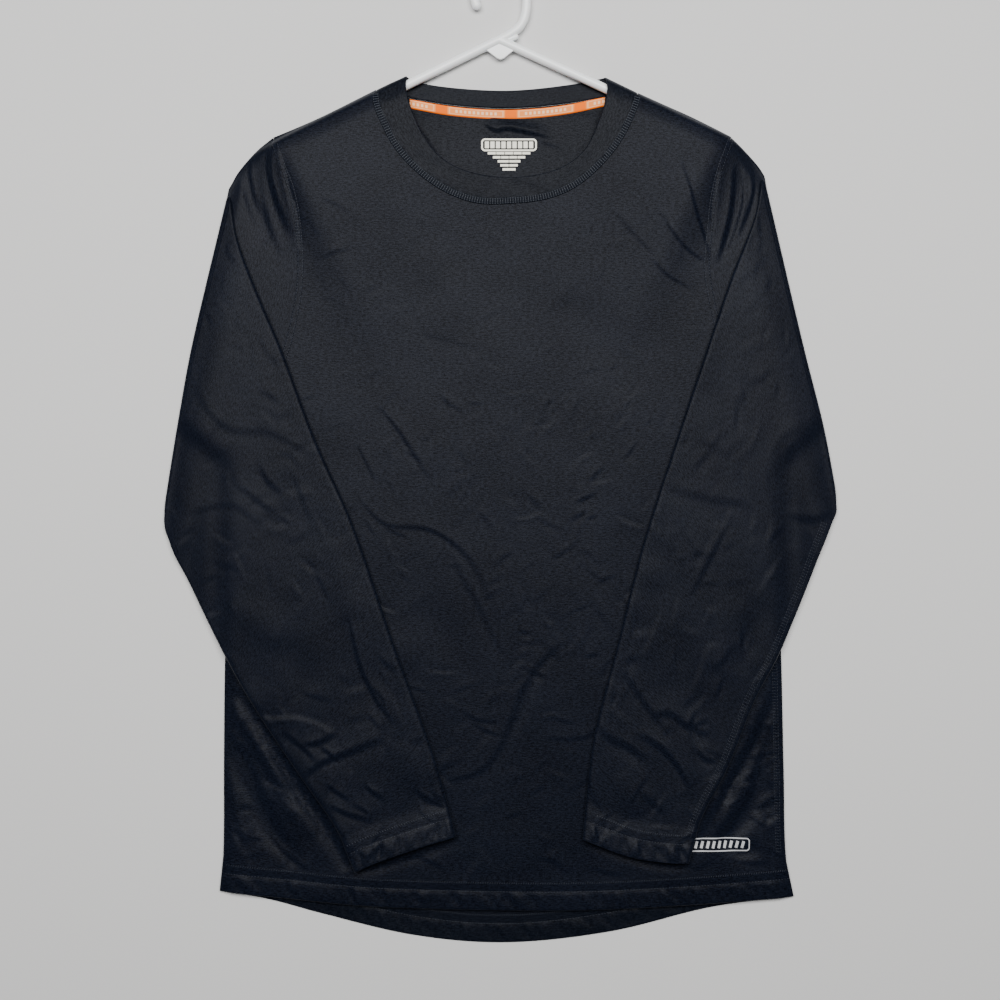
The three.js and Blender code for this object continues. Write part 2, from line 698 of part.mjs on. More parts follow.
const knit = () => new THREE.MeshStandardMaterial({ color: 0x1c1e24, roughness: 0.85, metalness: 0 });
const tapeCloth = new THREE.MeshStandardMaterial({ color: 0xe8742c, roughness: 0.7, metalness: 0 });
const whitePlastic = new THREE.MeshStandardMaterial({ color: 0xeef0f2, roughness: 0.35, metalness: 0 });

const top = new THREE.Group();
top.add(
  backPanel(knit()),
  frontPanel(knit()),
  sleeve("sleeve_right", knit(), RIGHT, RIGHT_SLEEVE_FOLDS),
  sleeve("sleeve_left", knit(), LEFT, LEFT_SLEEVE_FOLDS),
  neckband(knit()),
  neckTape(tapeCloth),
  await hanger(whitePlastic),
);
top.position.set(-CENTRE.x, -CENTRE.y, 0);

const part = new THREE.Group();
part.add(top);

export default part;
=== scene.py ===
# A long-sleeved base layer top, laid flat with its sleeves turned onto the front, on a plain hanger.
# Tables are in millimetres, as laid out: +X to the wearer's left, +Y from the hem to the neck.
import math

import bpy
import numpy as np
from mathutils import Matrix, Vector
from mathutils.bvhtree import BVHTree


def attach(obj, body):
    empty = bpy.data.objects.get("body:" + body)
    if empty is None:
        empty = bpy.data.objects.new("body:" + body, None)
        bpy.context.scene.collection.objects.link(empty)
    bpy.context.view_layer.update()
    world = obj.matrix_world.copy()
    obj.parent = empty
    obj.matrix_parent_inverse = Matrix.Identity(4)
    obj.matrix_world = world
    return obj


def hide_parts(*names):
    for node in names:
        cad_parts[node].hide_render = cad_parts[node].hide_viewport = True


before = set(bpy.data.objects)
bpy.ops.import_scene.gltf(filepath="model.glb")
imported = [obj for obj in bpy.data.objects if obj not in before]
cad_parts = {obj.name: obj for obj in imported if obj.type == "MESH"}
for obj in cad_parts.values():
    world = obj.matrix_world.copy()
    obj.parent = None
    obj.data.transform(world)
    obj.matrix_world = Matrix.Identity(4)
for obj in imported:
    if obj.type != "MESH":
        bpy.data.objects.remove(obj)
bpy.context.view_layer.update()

MM = 0.001
CENTRE = np.array([-4.26, 40.56, 0.0])  # the part's origin in the layout
VIEW_CENTRE = np.array([-4.4, 0.0])
VIEW_WIDTH = 880.0

# Cloth walls, gaps and levels of the stacked layers
WALL = 1.2
BAND_WALL = 1.8
BACK_BAND_WALL = 1.5
TAPE_WALL = 0.8
GAP = 0.3
SEAM_GAP = 0.6
FRONT_LEVEL = WALL + GAP
FOLD_AXIS = 3.0  # height about which a sleeve turns over
HEM_BAND = 32.0  # depth of the straight rows along a hem
STITCH_ROWS = (16.4, 23.8)  # distances of a hem's two rows of stitches from its edge
PANEL_LENGTH = 699.0  # down a panel's side, from the shoulder to the hem
PLAIN_LENGTH = PANEL_LENGTH - HEM_BAND

# Hanger
TUBE = 4.0
TUBE_Z = 5.8
APEX = (-4, 404.5)
ARM_ENDS = ((-190, 313), (182, 318))
HOOK = {"x": -4.1, "y": 444, "radius": 23, "sweep": 205}
SHORT_ROD_START = (-5, 403.9)
SHORT_ROD_THINNER = 0.05
FILLET = [(3.5, 404.2), (9.5, 406.5)]
FILLET_RADIUS = 2.6
WEB = [(-19, 396.4), (-14, 393.2), (-7, 387.8), (-4, 386.6), (-1, 387.8), (6, 393.4), (11, 396.8), (5, 402),
       (-4, 405), (-12, 401)]
WEB_HALF = 1.6
DOME = np.array([0.08, 0.3, 0.55, 0.77, 0.93])  # sizes of the rings of a rod's round end, as shares
STEM = [(-14, 399.6), (-7, 403), (3.9, 408.6), (13.7, 416.7), (18.2, 428.3), (18.9, 444)]

# Outlines of the wearer's right and left sides, columns x and y
RIGHT = {
    "sign": -1,
    "puff": 3.4,
    "shoulder": [(-113.5, 360.8), (-127, 354), (-161, 337), (-204, 319)],
    "armhole": [(-204, 319), (-194.5, 293), (-185.9, 269), (-180.5, 232), (-180, 194), (-185, 160),
                (-193.6, 128), (-210, 96), (-235.8, 70.4)],
    "side": [(-235.8, 70.4), (-243, -40), (-246.5, -141), (-247.4, -230), (-248, -315), (-251, -344)],
    "sleeve_top": [(-204, 319), (-218, 308), (-235, 288.5), (-240.4, 279), (-243.6, 272.6), (-244.6, 266.6)],
    "fold": [(-244.6, 266.6), (-276.3, 132), (-285.5, 82), (-294, 31), (-300.5, -12),
             (-301.5, -22), (-300, -31)],
    "inner": [(-244.6, 266.6), (-235, 231), (-216, 180), (-196, 133), (-166, 53), (-134, -19),
              (-95, -132), (-62, -224), (-42.7, -293)],
    "outer": [(-300, -31), (-290.5, -48), (-279, -70), (-248, -132), (-223, -176), (-178, -244), (-148, -287),
              (-131.6, -325)],
    "cuff": [(-42.7, -293), (-79.5, -304.5), (-117, -318), (-131.6, -325)],
}
LEFT = {
    "sign": 1,
    "puff": 2.7,
    "shoulder": [(117, 357.8), (139, 348), (164, 337), (199, 319)],
    "armhole": [(199, 319), (189, 293), (183, 269), (179, 232), (177.4, 202), (184.2, 163),
                (194, 128), (209, 96), (233.2, 70.4)],
    "side": [(233.2, 70.4), (239, -40), (243, -132), (245.3, -238.5), (247.5, -318), (254, -348.8)],
    "sleeve_top": [(199, 319), (214.7, 303.5), (223, 294), (227, 288), (228.6, 284.5), (228.4, 281.6)],
    "fold": [(228.4, 281.6), (263.5, 132), (280.4, 64.7), (288.6, 22.5), (293, -4),
             (293.6, -10), (291.5, -17)],
    "inner": [(228.4, 281.6), (219.5, 251), (197.6, 193.6), (180.8, 144.8), (147.3, 44.4),
              (120.4, -39.6), (97, -132), (77.4, -209), (67.6, -296)],
    "outer": [(291.5, -17), (263.5, -80), (241.6, -132), (218.6, -176), (195.8, -232.6),
              (172.2, -278), (160.4, -316.6)],
    "cuff": [(67.6, -296), (109.4, -311), (144, -316), (160.4, -316.6)],
}
FRONT_NECK = [(-113.5, 360.8), (-112, 346), (-106.7, 331.8), (-95, 309.8), (-74.8, 287.8),
              (-49.5, 271), (-24.3, 262.6), (3.9, 262.2), (36.1, 266), (59.6, 275.4), (79.8, 291.3),
              (98.3, 313.3), (111.8, 340), (117, 357.8)]
BACK_NECK = [(-113.5, 360.8), (-85.9, 354.4), (-45, 347.6), (4.4, 344.9), (50, 348.6), (90.6, 355),
             (117, 357.8)]
FRONT_FREE = [(-86, 372), (-86.2, 358.2), (-76.6, 329.1), (-61.9, 305.4), (-44.4, 292.2),
              (-22.4, 285.1), (3.5, 282.5), (30.8, 285), (53.7, 293), (69.5, 306.2), (81, 329.1),
              (88.9, 356.4), (88, 372)]
BACK_FREE = [(-86, 372), (-70.6, 366.8), (0, 360.8), (66.6, 367.5), (88, 372)]
TAPE_TOP = [(-84, 353.6), (-45, 347), (4.4, 344.3), (50, 348), (88, 355.6)]
TAPE_WIDTH = 8.8
FRONT_HEM = [(-251, -344), (-196, -349.4), (-124, -356.5), (0, -360.2), (80, -360),
             (172.2, -355), (254, -348.8)]
BACK_HEM = [(-251, -344), (-207, -352), (-160, -364.6), (-79.5, -383.4), (0, -389.8), (93.6, -380),
            (180, -359), (254, -348.8)]

# Creases: kind, reach and height in mm, then the points of the line, read in the photograph's frame of 1000
# by 1000 pixels. A "line" is a sharp crease, whose left side, looking along it, stands higher by its height.
# A "soft" one is a rounded ridge, or a trough below zero.
PIXEL = 0.88
PHOTO_ORIGIN = (505, 500)
FRONT_CREASES = [
    ("line", 12, 0.5, (380, 407), (404, 438), (430, 480)),
    ("line", 10, 0.35, (357, 443), (366, 462), (376, 482)),
    ("line", 14, 0.5, (360, 500), (385, 524), (430, 530), (463, 552), (484, 585), (503, 640)),
    ("line", 12, 0.55, (452, 553), (464, 580), (478, 604), (491, 632), (503, 655)),
    ("line", 14, 0.8, (447, 781), (480, 771), (500, 747), (514, 712), (524, 686), (541, 662), (563, 642)),
    ("line", 9, -0.35, (508, 742), (524, 718), (536, 686), (556, 650)),
    ("line", 9, 0.4, (457, 706), (476, 719), (498, 722)),
    ("line", 10, 0.4, (592, 598), (600, 614), (611, 632)),
    ("line", 9, 0.3, (569, 586), (580, 606), (584, 632)),
    ("line", 9, 0.3, (545, 737), (567, 739), (592, 736)),
    ("line", 10, 0.3, (582, 549), (590, 556), (598, 566)),
    ("line", 9, 0.35, (386, 529), (396, 533), (408, 537)),
    ("line", 9, -0.3, (446, 696), (455, 703), (464, 714)),
    ("line", 9, 0.4, (655, 148), (660, 160), (668, 176)),
    ("line", 9, -0.9, (678, 160), (688, 188), (694, 210), (703, 236), (710, 258)),
    ("line", 9, 0.8, (659, 213), (674, 236), (688, 251), (704, 262)),
    ("line", 10, 0.5, (650, 258), (666, 275), (692, 290)),
    ("line", 12, 0.4, (612, 211), (630, 232), (655, 258)),
    ("line", 9, 0.3, (318, 262), (334, 254), (352, 250)),
    ("line", 9, 0.3, (322, 200), (336, 206), (352, 216)),
    ("line", 12, 0.9, (258, 822), (283, 850), (308, 869)),
    ("line", 8, -0.7, (226, 797), (236, 836), (252, 865)),
    ("line", 6, 0.6, (224, 757), (234, 754), (246, 752)),
    ("line", 8, 0.8, (712, 812), (706, 832), (702, 852)),
    ("line", 8, 0.7, (752, 768), (744, 790), (736, 812)),
    ("line", 7, 0.5, (726, 858), (746, 862), (770, 862)),
    ("line", 8, -0.6, (768, 700), (770, 730), (776, 752)),
    ("line", 10, 0.5, (396, 866), (410, 858), (430, 853)),
    ("line", 10, -0.5, (480, 845), (488, 858), (492, 870)),
    ("line", 10, 0.5, (538, 856), (556, 862), (566, 874)),
    ("line", 8, 0.45, (590, 866), (606, 872), (622, 874)),
    ("soft", 5.5, -3.0, (236, 690), (284, 768), (326, 830), (348, 870)),
    ("soft", 8, -2.8, (232, 735), (246, 778), (268, 822), (300, 864)),
    ("soft", 7, 2.0, (234, 700), (262, 750), (286, 795), (312, 836)),
    ("soft", 4, -0.8, (352, 871), (376, 868), (404, 859), (458, 842)),
    ("soft", 4, -0.8, (588, 843), (620, 854), (655, 864), (694, 867)),
    ("soft", 5.5, -2.8, (775, 694), (750, 752), (724, 800), (700, 850)),
    ("soft", 8, -2.8, (770, 726), (762, 768), (748, 812), (722, 846)),
    ("soft", 7, 1.0, (762, 700), (748, 750), (732, 792), (716, 826)),
    ("soft", 7, -1.8, (240, 722), (257, 751), (277, 783), (302, 808)),
    ("soft", 8, 1.0, (252, 726), (272, 760), (292, 790)),
    ("soft", 9, -1.2, (232, 748), (243, 770), (258, 796)),
    ("soft", 7, -0.9, (246, 806), (262, 828), (280, 850)),
    ("soft", 7, -1.6, (720, 836), (738, 852), (760, 846)),
    ("soft", 8, 1.4, (718, 790), (724, 812), (722, 834)),
    ("soft", 7, -1.5, (742, 800), (734, 824), (712, 846)),
    ("soft", 6, -1.6, (756, 776), (768, 792), (765, 822)),
    ("soft", 7, 1.0, (748, 770), (738, 800), (728, 830)),
    ("soft", 8, 0.8, (724, 772), (718, 800), (712, 836)),
    ("soft", 18, 0.7, (420, 250), (450, 290), (440, 340)),
    ("soft", 20, -0.6, (560, 300), (600, 340), (630, 400)),
    ("soft", 16, 0.6, (350, 600), (380, 640), (420, 660)),
    ("soft", 16, -0.6, (420, 600), (450, 640), (470, 690)),
]
CAPS_CREASES = [
    ("soft", 9, -1.5, (256, 158), (254, 186), (258, 214), (268, 244)),
    ("soft", 8, -1.2, (744, 176), (748, 200), (742, 226), (730, 250)),
    ("line", 7, 2.8, (272, 147), (270, 172), (276, 200), (290, 234)),
    ("line", 6, -1.4, (281, 152), (288, 186), (297, 222), (299, 250)),
    ("line", 7, 1.4, (251, 147), (250, 172), (254, 196), (260, 214)),
    ("line", 7, -1.0, (240, 176), (246, 200), (258, 230)),
    ("line", 6, 1.2, (262, 200), (270, 228), (282, 256)),
    ("line", 6, -2.8, (733, 168), (732, 200), (726, 232), (717, 262)),
    ("line", 6, 2.2, (741, 172), (742, 200), (736, 226), (726, 254)),
    ("line", 6, -1.8, (750, 168), (753, 190), (748, 212), (738, 236)),
    ("line", 5, 1.0, (718, 170), (714, 200), (712, 236)),
]
RIGHT_ARM_CREASES = [
    ("line", 12, 0.5, (196, 388), (212, 414), (234, 431), (268, 433), (296, 446), (312, 454)),
    ("line", 9, 0.8, (261, 464), (268, 480), (284, 494)),
    ("line", 8, -0.5, (284, 495), (298, 492), (313, 487)),
    ("line", 9, 0.5, (234, 484), (248, 492), (262, 502), (283, 516)),
    ("line", 10, 0.45, (188, 516), (212, 508), (236, 506), (262, 526)),
    ("line", 9, 0.3, (214, 560), (228, 566), (244, 571)),
    ("line", 8, 0.4, (310, 558), (320, 578), (331, 602)),
    ("line", 10, 1.0, (350, 616), (355, 642), (362, 668), (378, 700), (394, 720)),
    ("line", 8, 0.6, (380, 655), (388, 664), (398, 668)),
    ("line", 10, -0.6, (206, 708), (240, 714), (268, 716), (300, 716), (320, 722), (337, 732)),
    ("line", 9, 1.5, (305, 743), (320, 741), (338, 731)),
    ("line", 9, 1.3, (284, 729), (294, 738), (304, 746), (316, 758)),
    ("line", 7, 1.0, (322, 746), (330, 751), (338, 758)),
    ("line", 14, 1.6, (305, 776), (318, 765), (333, 757), (352, 750), (384, 736)),
    ("line", 8, 1.1, (328, 782), (338, 790), (350, 797)),
    ("line", 8, 1.1, (366, 782), (374, 790), (385, 797)),
    ("line", 9, 1.1, (330, 803), (350, 812), (374, 818)),
    ("line", 7, 1.3, (415, 788), (430, 798), (447, 805)),
    ("line", 6, 1.0, (431, 789), (440, 796), (448, 802)),
    ("line", 9, 0.5, (232, 682), (246, 695), (264, 709)),
    ("line", 8, 0.4, (300, 690), (316, 695), (334, 700)),
    ("line", 8, 1.3, (322, 820), (336, 828), (346, 836)),
    ("line", 10, -0.4, (392, 690), (398, 706), (404, 724)),
    ("line", 9, 0.6, (226, 246), (230, 256), (238, 264)),
    ("line", 10, 0.4, (292, 470), (304, 500), (312, 524)),
    ("soft", 14, 0.8, (330, 540), (345, 580), (355, 620)),
    ("soft", 16, 0.7, (230, 600), (260, 620), (290, 650)),
    ("soft", 14, -0.6, (280, 640), (300, 670), (316, 690)),
    ("soft", 12, 0.6, (400, 740), (412, 764), (420, 786)),
]
LEFT_ARM_CREASES = [
    ("line", 11, 0.6, (661, 486), (690, 495), (724, 502), (747, 502)),
    ("line", 9, 0.45, (694, 439), (712, 448), (731, 458)),
    ("line", 8, -0.35, (731, 458), (742, 450), (751, 441)),
    ("line", 7, 0.6, (741, 468), (745, 486), (749, 502)),
    ("line", 7, 0.6, (748, 502), (752, 516), (748, 532)),
    ("line", 9, 0.9, (784, 515), (800, 519), (816, 519), (836, 511)),
    ("line", 9, -0.6, (727, 522), (710, 556), (688, 598)),
    ("line", 8, 0.35, (716, 530), (704, 552), (692, 576)),
    ("line", 9, 0.45, (781, 552), (768, 572), (756, 592)),
    ("line", 11, 1.0, (621, 668), (634, 688), (646, 706), (668, 734)),
    ("line", 9, 1.3, (594, 724), (612, 738), (630, 747), (645, 758)),
    ("line", 11, 1.6, (636, 732), (660, 747), (677, 766), (686, 785)),
    ("line", 9, 1.2, (650, 713), (670, 713), (688, 725), (708, 718)),
    ("line", 7, 1.0, (690, 727), (698, 731), (708, 733)),
    ("line", 5, 1.6, (694, 746), (703, 757), (714, 760)),
    ("line", 10, 0.8, (638, 788), (650, 800), (664, 812)),
    ("line", 8, 0.5, (588, 770), (592, 794), (604, 812)),
    ("line", 9, -0.4, (604, 655), (612, 690), (610, 720)),
    ("line", 9, 0.4, (660, 610), (650, 636), (640, 655)),
    ("line", 9, 0.5, (706, 640), (700, 664), (690, 690)),
    ("line", 8, 0.4, (770, 420), (780, 440), (784, 462)),
    ("soft", 14, 0.8, (690, 300), (700, 340), (690, 390)),
    ("soft", 14, 0.7, (740, 600), (728, 640), (712, 670)),
    ("soft", 14, -0.7, (760, 600), (744, 640), (730, 670)),
    ("soft", 16, 0.8, (620, 770), (634, 792), (640, 812)),
]
BACK_CREASES = [
    ("line", 4.5, 3.2, (483, 123), (494, 130), (508, 129), (526, 132), (553, 138)),
    ("soft", 5, 0.7, (490, 122), (516, 126), (548, 131)),
    ("line", 5, -0.7, (540, 140), (550, 145), (562, 147)),
    ("line", 8, 0.5, (415, 125), (430, 142), (440, 160)),
    ("line", 8, 0.5, (590, 130), (582, 148), (570, 160)),
]


class Curve:
    """A smooth line through a table of points, read by its share of the length."""

    def __init__(self, table, steps=40):
        points = np.array(table, float)
        points = np.vstack([2 * points[0] - points[1], points, 2 * points[-1] - points[-2]])
        found = []
        for i in range(1, len(points) - 2):
            a, b, c, d = points[i - 1:i + 3]
            t = np.cumsum([0] + [math.sqrt(np.linalg.norm(q - p)) for p, q in ((a, b), (b, c), (c, d))])
            s = np.linspace(t[1], t[2], steps, endpoint=False)[:, None]
            ab = (t[1] - s) / (t[1] - t[0]) * a + (s - t[0]) / (t[1] - t[0]) * b
            bc = (t[2] - s) / (t[2] - t[1]) * b + (s - t[1]) / (t[2] - t[1]) * c
            cd = (t[3] - s) / (t[3] - t[2]) * c + (s - t[2]) / (t[3] - t[2]) * d
            abc = (t[2] - s) / (t[2] - t[0]) * ab + (s - t[0]) / (t[2] - t[0]) * bc
            bcd = (t[3] - s) / (t[3] - t[1]) * bc + (s - t[1]) / (t[3] - t[1]) * cd
            found.append((t[2] - s) / (t[2] - t[1]) * abc + (s - t[1]) / (t[2] - t[1]) * bcd)
        found.append(points[-2:-1])
        self.points = np.vstack(found)
        self.reach = np.concatenate([[0], np.cumsum(np.linalg.norm(np.diff(self.points, axis=0), axis=1))])
        self.length = self.reach[-1]

    def at(self, share):
        where = np.clip(share, 0, 1) * self.length
        return np.stack([np.interp(where, self.reach, self.points[:, k]) for k in (0, 1)], -1)

    def part(self, first, last, count=40, steps=4):
        return Curve(self.at(np.linspace(first, last, count)), steps)


def mix(a, b, share):
    return a + (b - a) * share


def smooth(value):
    t = np.clip(value, 0, 1)
    return t * t * (3 - 2 * t)


def offset_line(line, offset, count, first=0.0, last=1.0, nudge=1e-3):
    """Evenly spaced points beside a curve, and the direction along it."""
    share = np.linspace(first, last, count)
    at = line.at(share)
    ahead = line.at(share + nudge) - line.at(share - nudge)
    ahead /= np.linalg.norm(ahead, axis=1)[:, None]
    return at + offset * np.stack([-ahead[:, 1], ahead[:, 0]], -1), ahead


# The grid of heights, and how a crease's two kinds fade
FIELD_STEP = 1.0
INSIDE_GRID = 1.001  # keeps a reading inside the last cell
LINE_REACH = 0.75
CREASE_EDGE = 1.0
CREASE_LIMIT = 3.5  # a crease has faded out at this many times its reach
CREASE_TAPER = 0.55
LINE_DEPTH = 0.95
SOFT_DEPTH = 1.3


def from_photo(table):
    """The same creases with their points in the layout's millimetres."""
    rows = []
    for kind, reach, height, *points in table:
        reach *= LINE_REACH if kind == "line" else 1
        places = [((x - PHOTO_ORIGIN[0]) * PIXEL, (PHOTO_ORIGIN[1] - y) * PIXEL) for x, y in points]
        rows.append((kind, reach, height, *places))
    return rows


class Field:
    """Heights on an even grid over the layout, read smoothly between its points."""

    def __init__(self, low, high):
        self.low = np.array(low, float)
        self.x = np.arange(low[0], high[0] + FIELD_STEP, FIELD_STEP)
        self.y = np.arange(low[1], high[1] + FIELD_STEP, FIELD_STEP)
        self.grid_x, self.grid_y = np.meshgrid(self.x, self.y)
        self.values = np.zeros_like(self.grid_x)

    def copy(self, values):
        other = Field.__new__(Field)
        other.__dict__.update(self.__dict__)
        other.values = values
        return other

    def read(self, x, y):
        column = np.clip((x - self.low[0]) / FIELD_STEP, 0, len(self.x) - INSIDE_GRID)
        row = np.clip((y - self.low[1]) / FIELD_STEP, 0, len(self.y) - INSIDE_GRID)
        c, r = column.astype(int), row.astype(int)
        fc, fr = column - c, row - r
        v = self.values
        return mix(mix(v[r, c], v[r, c + 1], fc), mix(v[r + 1, c], v[r + 1, c + 1], fc), fr)

    def spread(self, reach):
        """The same heights with every hollow narrower than the reach filled, and softened."""
        values = self.values
        steps = int(reach / FIELD_STEP)
        for axis in (0, 1):
            values = np.max([np.roll(values, k, axis) for k in range(-steps, steps + 1)], 0)
        for axis in (0, 1):
            values = np.mean([np.roll(values, k, axis) for k in range(-steps, steps + 1)], 0)
        return self.copy(values)

    def steepness(self):
        """Length of a sloping wall over its flat length, at most 2."""
        slope_y, slope_x = np.gradient(self.values, FIELD_STEP)
        return np.minimum(2, np.sqrt(1 + slope_x ** 2 + slope_y ** 2))

    def add_creases(self, table):
        for kind, reach, height, *points in table:
            line = Curve(points, 12)
            low = line.points.min(0) - CREASE_LIMIT * reach
            high = line.points.max(0) + CREASE_LIMIT * reach
            columns = slice(*np.searchsorted(self.x, (low[0], high[0])))
            rows = slice(*np.searchsorted(self.y, (low[1], high[1])))
            x, y = self.grid_x[rows, columns], self.grid_y[rows, columns]
            self.values[rows, columns] += crease(kind, reach, height, line, x, y)


def crease(kind, reach, height, line, x, y):
    """Height that one crease adds at places: it fades out at both ends and away from its line."""
    nearest = np.full(x.shape, np.inf)
    off = np.zeros_like(x)
    share = np.zeros_like(x)
    segments = len(line.points) - 1
    for i in range(segments):
        (x0, y0), (x1, y1) = line.points[i], line.points[i + 1]
        dx, dy = x1 - x0, y1 - y0
        length = math.hypot(dx, dy)
        t = np.clip(((x - x0) * dx + (y - y0) * dy) / length ** 2, 0, 1)
        distance = np.hypot(x - x0 - t * dx, y - y0 - t * dy)
        closer = distance < nearest
        nearest = np.where(closer, distance, nearest)
        side = ((y - y0) * dx - (x - x0) * dy) / length
        off = np.where(closer, np.copysign(distance, side), off)
        share = np.where(closer, (i + t) / segments, share)
    taper = np.sin(math.pi * share) ** CREASE_TAPER
    fade = smooth(CREASE_LIMIT - np.abs(off) / reach)
    if kind == "soft":
        return SOFT_DEPTH * height * taper * np.exp(-((off / reach) ** 2))
    return LINE_DEPTH * height * taper * fade * np.tanh(off / CREASE_EDGE) * np.exp(-np.abs(off) / reach)


def waves(x, y, seed, wavelength, count=9, spread=(0.7, 1.5)):
    """Smooth uneven ground between about -1 and 1, from a few cosines in random directions."""
    rng = np.random.default_rng(seed)
    total = np.zeros_like(x)
    for _ in range(count):
        angle, phase = rng.uniform(0, 2 * math.pi, 2)
        number = 2 * math.pi / (wavelength * rng.uniform(*spread))
        total += np.cos(number * (x * math.cos(angle) + y * math.sin(angle)) + phase)
    return total / math.sqrt(count)


# How the cloth falls away from the hanger's arms: above them, below them, past their ends and past the neck
OVER_TUBE = 2.5 * GAP
ABOVE_REACH = 7.2
ABOVE_POWER = 3.5
BELOW_REACH = 125
END_REACH = 27
APEX_REACH = 8


def hanger_rise(x, y):
    """How far the cloth over the hanger's arms stands up."""
    height = TUBE_Z + TUBE + OVER_TUBE - FRONT_LEVEL
    rise = np.zeros_like(x)
    for end_x, end_y in ARM_ENDS:
        dx, dy = end_x - APEX[0], end_y - APEX[1]
        length = math.hypot(dx, dy)
        along = ((x - APEX[0]) * dx + (y - APEX[1]) * dy) / length
        below = ((x - APEX[0]) * dy - (y - APEX[1]) * dx) / length * math.copysign(1, dx)
        falloff = np.where(below < 0, np.abs(below / ABOVE_REACH) ** ABOVE_POWER, (below / BELOW_REACH) ** 2)
        past_end = np.clip(along - length, 0, None) / END_REACH
        past_apex = np.clip(-along, 0, None) / APEX_REACH
        rise = np.maximum(rise, height * np.exp(-falloff - past_end ** 2 - past_apex ** 2))
    return rise


# The outline of what lies on the floor, as x for each y, and of the shoulders, as y for each x
RIGHT_RIM = [(-344, -251), (-141, -246.5), (40, -243), (75, -287), (132, -276), (266, -244.6), (288, -235),
             (308, -218), (319, -204)]
LEFT_RIM = [(-349, 254), (-132, 243), (40, 240), (75, 278), (132, 263.5), (281, 228.4), (303, 214.7),
            (319, 199)]
SHOULDER_RIM = [(-204, 319), (-161, 337), (-127, 354), (-86, 372), (88, 372), (117, 357.8), (139, 348),
                (164, 337), (199, 319)]
SIDE_LOFT = 14  # distance from the outline at which the air is full
SHOULDER_LOFT = 22

# Air under the front, the height and wavelength of its ground, and where its hem stands clear of the back's
FRONT_AREA = (-330, -410), (330, 400)
AIR = 3.0
BROAD_GROUND = (0.26, 130)
FINE_GROUND = (0.03, 60)
HEM_LIFT_TOP = -270
HEM_LIFT_DEPTH = 40

# The front's crinkled areas: number of creases, low corner, high corner, seed and greatest height
FRONT_CRINKLES = [
    (110, (-190, 60), (190, 250), 12, 0.24),
    (360, (-240, -325), (240, 90), 13, 0.62),
    (40, (195, -285), (246, -190), 14, 0.8),
    (34, (-244, -330), (-180, -190), 15, 0.9),
]

# The ranges that small creases and a hem's puckers are drawn from
CRINKLE_ANGLES = [-0.75, 0.75, 1.2]
ANGLE_SPREAD = 0.4
BEND_SPREAD = 0.12
CRINKLE_HALF = (4, 15)
CRINKLE_REACH = (2, 4.8)
CRINKLE_STRENGTH = (0.3, 1.0)
PUCKER_PLACE = (0.1, 0.9)
PUCKER_TOP = (14, 16.5)
PUCKER_FOOT = (0.5, 5)
PUCKER_LEAN = (2, 9)
PUCKER_BEND = (-0.5, 0.5)
PUCKER_REACH = (2.5, 6)
PUCKER_STRENGTH = (0.25, 1.0)
PUCKER_HEIGHT = 1.4


def loft(x, y):
    """How much air the front holds under it: none at the outline, a little in the middle."""
    right = np.interp(y, *zip(*RIGHT_RIM))
    left = np.interp(y, *zip(*LEFT_RIM))
    shoulder = np.interp(x, *zip(*SHOULDER_RIM))
    sides = smooth((x - right) / SIDE_LOFT) * smooth((left - x) / SIDE_LOFT)
    return sides * smooth((shoulder - y) / SHOULDER_LOFT)


def soft_floor(value, blend=0.06):
    """Keeps a height above zero without a sharp kink."""
    return 0.5 * (value + np.sqrt(value * value + blend))


def front_field():
    """Underside of the front: over the hanger, the back panel and a little air, with its creases."""
    field = Field(*FRONT_AREA)
    x, y = field.grid_x, field.grid_y
    field.values = AIR + ground(x, y, BROAD_GROUND, seed=3) + ground(x, y, FINE_GROUND, seed=5)
    field.add_creases(from_photo(FRONT_CREASES + CAPS_CREASES))
    field.add_creases(hem_puckers(Curve(FRONT_HEM), sign=1, count=44, seed=11))
    for area in FRONT_CRINKLES:
        field.add_creases(crinkles(*area))
    hem_lift = 2 * GAP * smooth((HEM_LIFT_TOP - y) / HEM_LIFT_DEPTH)
    field.values = FRONT_LEVEL + hanger_rise(x, y) + hem_lift + soft_floor(field.values) * loft(x, y)
    return field


def ground(x, y, size, seed, count=9):
    """Uneven ground of a height and a wavelength."""
    height, wavelength = size
    return height * waves(x, y, seed, wavelength, count)


def crinkles(count, low, high, seed, height):
    """Small creases that cross each other at uneven angles, as the rest of a worn and folded cloth has."""
    rng = np.random.default_rng(seed)
    rows = []
    for _ in range(count):
        middle = rng.uniform(low, high)
        angle = rng.choice(CRINKLE_ANGLES) + rng.normal(0, ANGLE_SPREAD)
        half = rng.uniform(*CRINKLE_HALF) * np.array([math.cos(angle), math.sin(angle)])
        bend = rng.normal(0, BEND_SPREAD) * np.array([-half[1], half[0]])
        strength = height * rng.uniform(*CRINKLE_STRENGTH) * rng.choice([-1, 1])
        points = middle - half, middle + bend, middle + half
        rows.append(("line", rng.uniform(*CRINKLE_REACH), strength, *points))
    return rows


def hem_puckers(line, sign, count, seed):
    """Short slanting creases across a turned hem, unevenly spaced, from the lower stitches to the edge."""
    rng = np.random.default_rng(seed)
    rows = []
    for number in range(count):
        share = (number + rng.uniform(*PUCKER_PLACE)) / count
        top, foot = rng.uniform(*PUCKER_TOP), rng.uniform(*PUCKER_FOOT)
        lean = rng.uniform(*PUCKER_LEAN) / line.length
        ends = [offset_line(line, sign * distance, 1, share + shift, share + shift)[0][0]
                for distance, shift in ((top, -lean / 2), (foot, lean / 2))]
        middle = (ends[0] + ends[1]) / 2 + rng.uniform(*PUCKER_BEND, 2)
        strength = PUCKER_HEIGHT * rng.uniform(*PUCKER_STRENGTH) * rng.choice([1, 1, -1])
        rows.append(("line", rng.uniform(*PUCKER_REACH), strength, ends[0], middle, ends[1]))
    return rows


